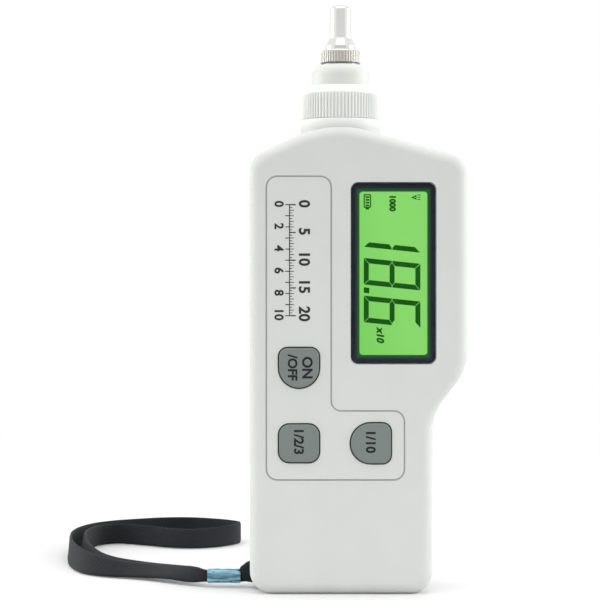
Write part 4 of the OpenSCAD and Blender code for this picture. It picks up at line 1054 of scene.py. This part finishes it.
class METER_OT_stage(bpy.types.Operator):
    """Set up the camera, the floor and the lamps"""

    bl_idname = "meter.stage"
    bl_label = "Stage"

    def execute(self, context):
        settings = context.scene.meter_stage
        scene = context.scene
        clear_selection()
        bpy.ops.object.camera_add(
            location=(-settings.camera_side, -settings.camera_away, settings.camera_height),
            rotation=(pi / 2, 0, 0))
        camera = context.object
        camera.name = "photo_camera"
        camera.data.lens = settings.lens
        camera.data.sensor_width = 36
        camera.data.clip_start = 0.01
        camera.data.clip_end = 50
        scene.camera = camera
        self.add_floor(settings)
        self.add_lamps()
        self.add_world(scene)
        scene.view_settings.view_transform = "Standard"
        return {"FINISHED"}

    def add_floor(self, settings):
        """A wide table in matt white lacquer that goes over into the background.

        The eye sees the object's soft shadow on it and no edge or horizon."""
        clear_selection()
        bpy.ops.mesh.primitive_plane_add(size=12, location=(0, 0, -0.05 * MM))
        floor = settled("floor")
        material, tree = new_material("matt_white_lacquer")
        place = put(tree, "TexCoord").outputs["Object"]
        away = put(tree, "VectorMath", {"operation": "LENGTH"}, {0: place})
        fade = put(
            tree, "MapRange", {"From Min": 250 * MM, "From Max": 700 * MM},
            {"Value": away.outputs["Value"]})
        lacquer = put(
            tree, "BsdfPrincipled",
            {"Base Color": settings.floor, "Roughness": 0.6, "Specular IOR Level": 0.2})
        path = put(tree, "LightPath")
        sight = path.outputs["Is Camera Ray"]
        shine = put(
            tree, "Math", {"operation": "MAXIMUM"}, {0: sight, 1: path.outputs["Is Glossy Ray"]})
        seen = put(
            tree, "Math", {"operation": "MAXIMUM"},
            {0: shine, 1: path.outputs["Is Transmission Ray"]})
        # Near the object the table only looks a little lighter than it is
        lift = put(tree, "Math", {"operation": "MULTIPLY", 1: 0.06}, {0: seen})
        near = put(tree, "Emission", {"Color": WHITE}, {"Strength": lift})
        both = put(tree, "AddShader", links={0: lacquer, 1: near})
        # Far off it is white to the camera, and shines less towards the object's front
        parts = put(tree, "SeparateXYZ", links={"Vector": place})
        behind = put(
            tree, "MapRange", {"From Min": -700 * MM, "From Max": 100 * MM, "To Min": 0.05},
            {"Value": parts.outputs["Y"]})
        strength = put(tree, "Math", {"operation": "MAXIMUM"}, {0: sight, 1: behind})
        far = put(tree, "Emission", {"Color": WHITE}, {"Strength": strength})
        surface = put(tree, "MixShader", links={0: fade, 1: both, 2: far})
        put(tree, "OutputMaterial", links={"Surface": surface})
        floor.data.materials.append(material)

    def add_lamps(self):
        """Soft lamps: two ahead, one at each side and one over the object."""
        for name, place, size, power in LAMPS:
            clear_selection()
            bpy.ops.object.light_add(type="AREA", location=place)
            lamp = bpy.context.object
            lamp.name = name
            lamp.data.shape = "SQUARE"
            lamp.data.size = size
            lamp.data.energy = power
            lamp.visible_camera = False
            lamp.visible_glossy = place[1] > LAMP_SHINE_Y
            towards = Vector(LAMPS_AIM) - Vector(place)
            lamp.rotation_euler = towards.to_track_quat("-Z", "Y").to_euler()

    def add_world(self, scene):
        """A surround that is white to the camera, and dark low down behind the camera."""
        world = bpy.data.worlds.new("studio")
        scene.world = world
        world.use_nodes = True
        tree = world.node_tree
        tree.nodes.clear()
        towards = put(
            tree, "SeparateXYZ", links={"Vector": put(tree, "TexCoord").outputs["Generated"]})
        ahead = put(
            tree, "MapRange",
            {"interpolation_type": "SMOOTHSTEP", "From Min": 0.07, "From Max": 0.12,
             "To Min": 0.04, "To Max": 0.86},
            {"Value": towards.outputs["Z"]})
        around = put(
            tree, "MapRange",
            {"interpolation_type": "SMOOTHSTEP", "From Min": -0.76, "From Max": -0.6,
             "To Max": 1.0},
            {"Value": towards.outputs["Y"], "To Min": ahead})
        path = put(tree, "LightPath")
        strength = put(
            tree, "Mix", {"data_type": "FLOAT", 3: 1.0},
            {0: path.outputs["Is Camera Ray"], 2: around})
        light = put(tree, "Background", {"Color": WHITE}, {"Strength": strength})
        put(tree, "OutputWorld", links={"Surface": light})


class METER_OT_case(bpy.types.Operator):
    """Model the front and rear shells with their neck"""

    bl_idname = "meter.case"
    bl_label = "Case"

    def execute(self, context):
        settings = context.scene.meter_case
        # ABS from a spark-eroded tool: matt, with a fine even grain that spreads the light
        plastic = moulded(
            "spark_eroded_abs", settings.plastic, 0.35, 0.012, 0.5, neck=settings.neck)
        finish_piece(self.front_shell(settings), plastic, "case_plastic", "front_shell")
        finish_piece(self.rear_shell(settings), plastic, "case_plastic", "rear_shell")
        return {"FINISHED"}

    def half(self, name, settings, y, room_y, angle):
        """One half of the case, hollow between two planes, with its half of the neck."""
        shell = slab(name, CASE_CORNERS, min(y, 0), abs(y), CORNER_STEPS)
        bevel_rim(shell, y, settings.edge / MM, settings.edge_steps)
        bevel_rim(shell, 0, settings.seam / MM, 1)
        inside = drawn_in(CASE_CORNERS, WALL)
        cut(shell, slab("room", inside, room_y[0], room_y[1] - room_y[0], CORNER_STEPS))
        add(shell, self.neck_half(angle))
        cut(shell, pillar(0, 0, NECK_BORE_R, *NECK_BORE_Z))
        return shell

    def neck_half(self, angle):
        """Half of the flared neck and the collar's spigot."""
        steps = 8
        bends = [k * pi / 2 / steps for k in range(steps, -1, -1)]
        flare = [
            (NECK_R + NECK_FLARE * (1 - cos(bend)), PEAK_Z - NECK_H - NECK_FLARE * sin(bend))
            for bend in bends]
        profile = [(NECK_BORE_R, NECK_FOOT_Z), (NECK_R + NECK_FLARE, NECK_FOOT_Z)] + flare + [
            (NECK_R, NECK_TOP_Z - 0.2), (NECK_R - 0.2, NECK_TOP_Z), (SPIGOT_R, NECK_TOP_Z),
            (SPIGOT_R, SPIGOT_TOP_Z), (NECK_BORE_R, SPIGOT_TOP_Z)]
        return turned("neck", profile, 48, angle)

    def pocket_walls(self, low_y, high_y):
        """The walls round the strap's pocket."""
        return block(
            (-HALF_W + WALL / 2, low_y, WALL / 2),
            (POCKET_HIGH[0] + POCKET_WALL, high_y, POCKET_HIGH[2] + POCKET_WALL))

    def front_shell(self, settings):
        """The front half with its openings."""
        shell = self.half("front_case", settings, FRONT_Y, (FRONT_Y + WALL, 1), -pi)
        add(shell, self.pocket_walls(POCKET_LOW[1] - POCKET_WALL, 0))
        cut(shell, block(POCKET_LOW, (POCKET_HIGH[0], 1, POCKET_HIGH[2])))
        openings = [
            (display_corners(COVER_HALF, COVER_GAP, COVER_R + COVER_GAP), COVER_SEAT),
            (display_corners(LIT_HALF, WINDOW_MARGIN, WINDOW_MARGIN), WALL + 1),
            (drawn_in(LABEL_CORNERS, -LABEL_GAP), LABEL_SEAT)]
        openings += [(drawn_in(corners, -KEY_GAP), WALL + 1) for corners in KEYS.values()]
        for corners, depth in openings:
            cut(shell, slab("opening", corners, FRONT_Y - 1, depth + 1))
        smooth(shell)
        return shell

    def rear_shell(self, settings):
        """The rear half with the battery bay, the door's guides and the screw holes."""
        shell = self.half("rear_case", settings, REAR_Y, (-1, INNER_REAR_Y), pi)
        for x, z in SCREW_PLACES:
            add(shell, rod(x, z, BOSS_R, 0, BOSS_BACK_Y))
        add(
            shell,
            block((-BAY_OUT, BAY_FRONT_Y, BAY_LOW_Z - BAY_WALL),
                  (BAY_OUT, BOSS_BACK_Y, BAY_HIGH_Z + BAY_WALL)),
            block(SILL_LOW, SILL_HIGH),
            *twin_blocks(GUIDE_LOW, GUIDE_HIGH),
            self.pocket_walls(0.05, POCKET_HIGH[1] + POCKET_WALL))
        cut(
            shell,
            block((-BAY_HALF_W, BAY_INNER_Y, BAY_LOW_Z), (BAY_HALF_W, BAY_BACK_Y, BAY_HIGH_Z)),
            block((-DOOR_HALF_W - DOOR_GAP, INNER_REAR_Y, -1),
                  (DOOR_HALF_W + DOOR_GAP, BEHIND_Y, DOOR_TOP_Z + DOOR_GAP)),
            *twin_blocks(GROOVE_LOW, GROOVE_HIGH),
            block((POCKET_LOW[0], -1, POCKET_LOW[2]), POCKET_HIGH))
        for x, z in SCREW_PLACES:
            cut(shell, rod(x, z, SCREW_HOLE_R, -1, 18), rod(x, z, SCREW_HEAD_R, SCREW_SEAT_Y, 12))
        for x in (-WIRE_X, WIRE_X):
            cut(shell, pillar(x, WIRE_Y, WIRE_R, BAY_HIGH_Z - 1, BAY_HIGH_Z + 3, 24))
        smooth(shell)
        return shell


class METER_OT_door(bpy.types.Operator):
    """Model the battery door"""

    bl_idname = "meter.door"
    bl_label = "Battery door"

    def execute(self, context):
        settings = context.scene.meter_case
        door = slab("bay_door", CASE_CORNERS, 0, REAR_Y, CORNER_STEPS)
        bevel_rim(door, REAR_Y, settings.edge / MM, settings.edge_steps)
        boolean(door, block(
            (-DOOR_HALF_W, INNER_REAR_Y + DOOR_GAP, DOOR_LOW_Z),
            (DOOR_HALF_W, BEHIND_Y, DOOR_TOP_Z)), "INTERSECT")
        for low, high in DOOR_RAILS:
            add(door, *twin_blocks(low, high))
        for i in range(GRIP_COUNT):
            down = GRIP_PITCH * i
            groove = block(
                (-GRIP_HALF_W, REAR_Y - GRIP_DEPTH, GRIP_Z[0] - down),
                (GRIP_HALF_W, BEHIND_Y, GRIP_Z[1] - down))
            bevel(groove, 0.2, 3, lambda p: True)
            cut(door, groove)
        smooth(door)
        plastic = bpy.data.materials["spark_eroded_abs"]
        finish_piece(door, plastic, "case_plastic", "battery_door", body="door")
        return {"FINISHED"}


class METER_OT_label(bpy.types.Operator):
    """Model the front label with its outline and its printed scale"""

    bl_idname = "meter.label"
    bl_label = "Front label"

    def execute(self, context):
        settings = context.scene.meter_label
        film = slab("label_film", LABEL_CORNERS, LABEL_Y, LABEL_T)
        for corners in KEYS.values():
            cut(film, slab("opening", drawn_in(corners, -KEY_GAP), LABEL_Y - 1, 2))
        bevel_rim(film, LABEL_Y, 0.04, 1)
        # Polycarbonate film: smoother than the case, so that its edge and sheen stand out
        satin = moulded("satin_polycarbonate", settings.film, 0.2, 0.004, 0.38, 0.015)
        finish_piece(film, satin, "label_film", "front_label")
        # A thin grey line just inside the film's edge: painted shade of that edge
        outline = flat_ring(
            "label_edge_shade", drawn_in(LABEL_CORNERS, 0.05), settings.line_width / MM,
            INK_Y, INK_T)
        finish_piece(outline, printed_ink("grey_edge_shade", settings.line), "label_film")
        scale = self.scale(settings.figure_size / MM)
        finish_piece(scale, printed_ink("black_scale_ink", settings.ink), "label_film")
        return {"FINISHED"}

    def scale(self, height):
        """A plain double scale that runs down the label: 0 to 20 beside 0 to 10."""
        step = (SCALE_TOP_Z - SCALE_LOW_Z) / SCALE_MARKS
        made = [bar(
            (SCALE_X - SCALE_HALF_W, SCALE_LOW_Z - SCALE_END),
            (SCALE_X + SCALE_HALF_W, SCALE_TOP_Z + SCALE_END), INK_Y)]
        for i in range(SCALE_MARKS + 1):
            z = SCALE_TOP_Z - i * step
            long, half = next(sizes for every, *sizes in MARK_SIZES if i % every == 0)
            made.append(bar((SCALE_X, z - half), (SCALE_X + long, z + half), INK_Y))
            if i % BACK_MARK_STEPS == 0:
                made.append(bar(
                    (SCALE_X - BACK_MARK_L, z - BACK_MARK_HALF_W),
                    (SCALE_X, z + BACK_MARK_HALF_W), INK_Y))
        for x, share, bold, count, unit, marks in SCALE_ROWS:
            size = share * height
            for i in range(count):
                text = str(unit * i)
                z = SCALE_TOP_Z - marks * i * step + FIGURE_HALF_W * size * len(text)
                made.append(printed_text(text, x, z, size, INK_Y - 0.01, bold=bold))
        return joined("label_scale", made)


class METER_OT_keys(bpy.types.Operator):
    """Model the three keys with the signs on them"""

    bl_idname = "meter.keys"
    bl_label = "Keys"

    def execute(self, context):
        settings = context.scene.meter_keys
        # Silicone rubber: a soft, slightly blotchy sheen without sharp highlights
        silicone = moulded("satin_silicone", settings.rubber, 0.25, 0.01, 0.55, 0.05, 0.4)
        ink = printed_ink("key_ink", settings.print_ink)
        for name, corners in KEYS.items():
            key = slab(name + "_key_cap", corners, KEY_FRONT_Y, KEY_DEPTH)
            bevel_rim(key, KEY_FRONT_Y, settings.edge / MM, 4)
            add(key, slab("flange", drawn_in(corners, -KEY_FLANGE), FLANGE_Y, FLANGE_T))
            smooth(key)
            body = name + "_button"
            finish_piece(key, silicone, "key_rubber", name + "_key", body=body)
            signs = joined(name + "_key_print", [
                printed_text(text, x, z, size, KEY_FRONT_Y - 0.01, bold=0.13)
                for text, x, z, size in KEY_SIGNS[name]])
            finish_piece(signs, ink, "key_rubber", body=body)
        return {"FINISHED"}


class METER_OT_display(bpy.types.Operator):
    """Model the display's cover, figures and small signs, and light the glass"""

    bl_idname = "meter.display"
    bl_label = "Display"

    def execute(self, context):
        settings = context.scene.meter_display
        cover = slab(
            "clear_window", display_corners(COVER_HALF, 0, COVER_R), COVER_Y, COVER_T)
        bevel_rim(cover, COVER_Y, 0.15, 2)
        smooth(cover)
        finish_piece(cover, polished_acrylic(), "clear_cover", "display_cover")
        dress("cover_mask", border_ink(settings.border))
        dress("display_cell", lit_glass(settings.lit))
        dark = liquid_crystal(settings.figures)
        large = joined("display_figures", self.large_figures())
        finish_piece(large, dark, "display_ink", "display_digits")
        signs = joined("display_signs", self.battery_sign() + self.lamp_sign() + self.figures())
        finish_piece(signs, dark, "display_ink")
        return {"FINISHED"}

    def stroke_corners(self, letter):
        """The corners of a figure's stroke, with mitred ends, in the upright figure."""
        h = DIGIT_W / 2
        top = DIGIT_H
        mid = DIGIT_H / 2
        t = STROKE
        g = STROKE_GAP
        if letter == "a":
            return [(-h + g, top), (h - g, top), (h - t - g, top - t), (-h + t + g, top - t)]
        if letter == "g":
            return [
                (-h + t / 3 + g, mid), (-h + t + g, mid + t / 2), (h - t - g, mid + t / 2),
                (h - t / 3 - g, mid), (h - t - g, mid - t / 2), (-h + t + g, mid - t / 2)]
        if letter == "b":
            return [
                (h, top - g), (h, mid + g), (h - t / 3, mid + g), (h - t, mid + t / 2 + g),
                (h - t, top - t - g)]
        if letter == "f":
            return [(-a, b) for a, b in self.stroke_corners("b")]
        mirrored = {"d": "a", "c": "b", "e": "f"}[letter]
        return [(a, top - b) for a, b in self.stroke_corners(mirrored)]

    def large_figures(self):
        """The large figures and their point, which read down the panel."""
        outlines = [
            [(a + i * DIGIT_PITCH, b) for a, b in self.stroke_corners(letter)]
            for i, letters in enumerate(DIGITS_LIT) for letter in letters]
        left = 1.5 * DIGIT_PITCH - POINT_W / 2
        right = left + POINT_W
        outlines.append([(left, 0), (right, 0), (right, POINT_W), (left, POINT_W)])
        lean = tan(radians(SLANT))
        return [
            slab(
                "stroke", [(DIGITS_X + b, DIGITS_Z - a - lean * b, 0) for a, b in outline],
                CELL_Y - STROKE_T, STROKE_T)
            for outline in outlines]

    def battery_sign(self):
        """A battery's outline with its bars, its top downwards."""
        corners = box_corners(BATTERY_LOW, BATTERY_HIGH, 0.4)
        made = [flat_ring("battery_sign", corners, BATTERY_LINE, SIGN_Y, SIGN_T)]
        left = BATTERY_LOW[0] + 0.55
        right = BATTERY_HIGH[0] - 0.55
        for i in range(BATTERY_BARS):
            z = BATTERY_LOW[1] + 0.5 + BAR_PITCH * i
            made.append(bar((left, z), (right, z + BAR_H), SIGN_Y))
        made.append(bar((7.5, 118.1), (8.5, 118.6), SIGN_Y))
        return made

    def lamp_sign(self):
        """A small triangle with three rays."""
        triangle = flat_ring("lamp_sign", LAMP_CORNERS, LAMP_LINE, SIGN_Y, SIGN_T)
        return [triangle] + [bar((RAY_X[0], z), (RAY_X[1], z + RAY_W), SIGN_Y) for z in RAY_Z]

    def figures(self):
        """The small figures beside the large ones."""
        return [
            printed_text("1000", 14.9, 122.6, 2.5, SIGN_Y, bold=0.16),
            printed_text("x10", 11.0, 81.8, 3.0, SIGN_Y, italic=0.2, bold=0.16)]


class METER_OT_probe(bpy.types.Operator):
    """Model the collar, the nose, the knurled nut and the probe tip"""

    bl_idname = "meter.probe"
    bl_label = "Collar and probe"

    def execute(self, context):
        settings = context.scene.meter_probe
        # ABS from a polished tool: clean white, with a soft highlight round the ring and nose. The
        # ring is painted paler than the nose: painted light that offsets the shade between its ribs
        white = moulded("white_abs", settings.ring, 0.3, 0.006, 0.42, 0.015)
        finish_piece(self.collar(), white, "collar_plastic", "collar", body="collar_body")
        off_white = moulded("off_white_abs", settings.plastic, 0.3, 0.006, 0.42, 0.015)
        finish_piece(self.nose(), off_white, "collar_plastic", "sensor_nose")
        # Nickel plate over fine knurling: warm, broad and dull reflections
        nickel = metal("nickel_plate", settings.nickel, 0.5, 0.2)
        finish_piece(self.nut(), nickel, "nickel", "probe_nut", body="probe_body")
        # Chrome, polished along the axis: near mirror, with upright bands of light and dark
        chrome = metal("polished_chrome", settings.chrome, 0.14, 0.4, 0.001, (1, 1, 0.05), 0.03)
        finish_piece(self.tip(), chrome, "chrome", "probe_tip", body="probe_body")
        return {"FINISHED"}

    def collar(self):
        """A ring with a sloping rim and fine upright ribs."""
        root_r = COLLAR_R - RIB_DEPTH
        ring = turned("ribbed_collar", [
            (10.5, COLLAR_LOW_Z), (root_r - 0.1, COLLAR_LOW_Z), (root_r, COLLAR_LOW_Z + 0.1),
            (root_r, RIBS_TOP_Z), (root_r - 0.15, RIBS_TOP_Z + 0.4), (10.25, COLLAR_TOP_Z - 0.25),
            (9.9, COLLAR_TOP_Z), (9.1, COLLAR_TOP_Z), (9.1, COLLAR_SEAT_Z),
            (10.5, COLLAR_SEAT_Z)], 2 * RIB_COUNT)
        smooth(ring)
        rib = pillar(COLLAR_R - RIB_R, 0, RIB_R, COLLAR_LOW_Z, RIBS_TOP_Z, 12)
        bevel(rib, 0.15, 2, lambda p: True)
        smooth(rib, 40)
        return joined("ribbed_collar", [ring] + copies_round(rib, RIB_COUNT))

    def nose(self):
        """A rounded shoulder with a thin flat top."""
        steps = 12
        bend = [
            (NOSE_R - (NOSE_R - NOSE_TOP_R) * (1 - cos(t)) / (1 - cos(NOSE_BEND)),
             NOSE_BEND_Z + (NOSE_TOP_Z - NOSE_BEND_Z) * sin(t) / sin(NOSE_BEND))
            for t in (NOSE_BEND * k / steps for k in range(steps + 1))]
        nose = turned("rounded_nose", [
            (NOSE_BORE_R, SPIGOT_TOP_Z), (NOSE_RIM_R, SPIGOT_TOP_Z), (NOSE_RIM_R, NOSE_RIM_Z),
            (NOSE_R, NOSE_RIM_Z)] + bend + [(NOSE_BORE_R, NOSE_TOP_Z)])
        smooth(nose)
        return nose

    def nut(self):
        """A nut with straight knurling and chamfered edges."""
        root_r = NUT_R - TOOTH_H
        end_r = root_r - NUT_CHAMFER
        core = turned("knurled_nut", [
            (NUT_BORE_R, NUT_LOW_Z), (end_r, NUT_LOW_Z), (root_r, NUT_LOW_Z + NUT_CHAMFER),
            (root_r, NUT_TOP_Z - NUT_CHAMFER), (end_r, NUT_TOP_Z), (NUT_BORE_R, NUT_TOP_Z)],
            2 * NUT_TEETH)
        smooth(core)
        tooth = block(
            (end_r, -TOOTH_HALF_W, NUT_LOW_Z + TOOTH_END),
            (NUT_R, TOOTH_HALF_W, NUT_TOP_Z - TOOTH_END))
        bevel(tooth, 0.16, 2, lambda p: p.x > NUT_R - 0.01)
        return joined("knurled_nut", [core] + copies_round(tooth, NUT_TEETH))

    def tip(self):
        """A turned tip: stud, foot, cone, shank and domed end."""
        steps = 10
        foot_z = NUT_TOP_Z + 0.02
        dome_z = PROBE_TOP_Z - DOME_H
        bends = [k * pi / 2 / steps for k in range(steps)]
        dome = [(SHANK_R * cos(bend), dome_z + DOME_H * sin(bend)) for bend in bends]
        tip = turned("probe_tip_turned", [
            (0, STUD_LOW_Z), (STUD_R, STUD_LOW_Z), (STUD_R, foot_z), (FOOT_R - 0.15, foot_z),
            (FOOT_R, NUT_TOP_Z + 0.2), (FOOT_R, 169.9), (FOOT_R - 0.12, 170.1),
            (SHANK_R + 0.25, 172.15), (SHANK_R, SHANK_LOW_Z)] + dome + [(0, PROBE_TOP_Z)])
        smooth(tip)
        return tip


class METER_OT_inside(bpy.types.Operator):
    """Give the screws, the battery and the electronics their finishes"""

    bl_idname = "meter.inside"
    bl_label = "Inside and screws"

    def execute(self, context):
        # Name, colour, grit and its depth in millimetres, roughness, mottle and the nodes
        mouldings = [
            # Dull black ABS, which shows its edges only
            ("black_abs", "26272c", 0.3, 0.01, 0.45, 0.02,
             "display_frame", "key_switches", "battery_snap"),
            # Rubber and its like: no highlight at all
            ("black_rubber", "26282c", 0.4, 0.01, 0.7, 0.02,
             "contact_strips", "sensor_isolator", "collar_washer", "sensor_cable", "lead_black"),
            # Unpainted nylon: creamy and faintly shiny
            ("cream_nylon", "e2dccb", 0.4, 0.008, 0.5, 0.02,
             "meas_plunger", "mode_plunger", "range_plunger", "sensor_socket"),
            # Vinyl on a wire: plain bright red
            ("red_insulation", "b3302a", 0.4, 0.006, 0.5, 0.02, "lead_red"),
            # Chip packages: matt, with the fine grit of filled resin
            ("black_epoxy", "2b2c30", 0.15, 0.006, 0.6, 0.02,
             "controller_chip", "amplifier_chips", "chip_resistors"),
            # Shrunk film on the cans: glossy dark blue
            ("blue_sleeve_film", "3b4a78", 0.5, 0.004, 0.3, 0.02, "capacitors"),
            # Fired ceramic: a dry ochre disc
            ("fired_ceramic", "c8a457", 0.2, 0.006, 0.45, 0.02, "piezo_disc"),
            # Milky acrylic: smooth, pale and shiny
            ("milky_acrylic", "e9f5ea", 0.8, 0.002, 0.2, 0.02, "light_guide"),
            # Cast resin over the lamps' dies: glossy pale yellow
            ("yellowish_resin", "f0eab8", 0.3, 0.002, 0.15, 0.02, "guide_leds"),
            # Open foam: deep pores that drink the light
            ("open_foam", "4a4c50", 0.5, 0.15, 0.9, 0.3, "battery_pad"),
            # Lacquered sheet steel round the cell: smooth and slate blue
            ("lacquered_steel", "3c4653", 0.3, 0.003, 0.3, 0.02, "battery")]
        for name, code, grit, depth, roughness, mottle, *nodes in mouldings:
            material = moulded(name, linear(code), grit, depth, roughness, mottle)
            for node in nodes:
                dress(node, material)
        # Zinc plate: cool grey with a slightly cloudy shine
        zinc = metal("zinc_plate", linear("b9bcc0"), 0.32, 0.25)
        for node in ("case_screws", "board_screws", "probe_washer", "battery_terminals", "strap_pin"):
            dress(node, zinc)
        # Stainless steel off the lathe: fine rings round each part
        steel = metal("turned_stainless", linear("c4c6c9"), 0.25, 0.3, 0.003, (1, 1, 8))
        for node in ("sensor_can", "sensor_lid", "seismic_mass", "crystal"):
            dress(node, steel)
        dress("main_board", green_solder_mask())
        return {"FINISHED"}


class METER_OT_strap(bpy.types.Operator):
    """Model the wrist strap's webbing and its sleeve"""

    bl_idname = "meter.strap"
    bl_label = "Wrist strap"

    def execute(self, context):
        settings = context.scene.meter_strap
        route = smooth_route(TAIL_OUT + LOOP + TAIL_BACK, ROUTE_STEPS)
        webbing = webbing_mesh("strap_webbing", route, settings.width / MM, settings.thick / MM)
        nylon = woven_nylon(settings.webbing)
        finish_piece(webbing, nylon, "webbing", "strap_loop", "strap_tail")
        film = shrunk_film(settings.sleeve)
        finish_piece(sleeve_mesh("shrunk_sleeve"), film, "sleeve_plastic", "strap_sleeve")
        return {"FINISHED"}


OPERATORS = [
    METER_OT_stage, METER_OT_strap, METER_OT_case, METER_OT_door, METER_OT_label, METER_OT_keys,
    METER_OT_display, METER_OT_probe, METER_OT_inside]
SETTINGS = [
    ("meter_stage", StageSettings), ("meter_case", CaseSettings), ("meter_label", LabelSettings),
    ("meter_keys", KeySettings), ("meter_display", DisplaySettings),
    ("meter_probe", ProbeSettings), ("meter_strap", StrapSettings)]


class METER_PT_panel(bpy.types.Panel):
    """Lists the settings and what can be built"""

    bl_label = "Vibration meter"
    bl_idname = "METER_PT_panel"
    bl_space_type = "VIEW_3D"
    bl_region_type = "UI"
    bl_category = "Meter"

    def draw(self, context):
        for name, group in SETTINGS:
            box = self.layout.box()
            box.label(text=group.__doc__)
            for key in group.__annotations__:
                box.prop(getattr(context.scene, name), key)
        for operator in OPERATORS:
            self.layout.operator(operator.bl_idname)


CLASSES = [group for _, group in SETTINGS] + OPERATORS + [METER_PT_panel]


def register():
    for item in CLASSES:
        bpy.utils.register_class(item)
    for name, group in SETTINGS:
        setattr(bpy.types.Scene, name, bpy.props.PointerProperty(type=group))


def unregister():
    for name, _ in SETTINGS:
        delattr(bpy.types.Scene, name)
    for item in reversed(CLASSES):
        bpy.utils.unregister_class(item)


def main():
    register()
    for operator in OPERATORS:
        group, name = operator.bl_idname.split(".")
        getattr(getattr(bpy.ops, group), name)()


if __name__ == "__main__":
    main()
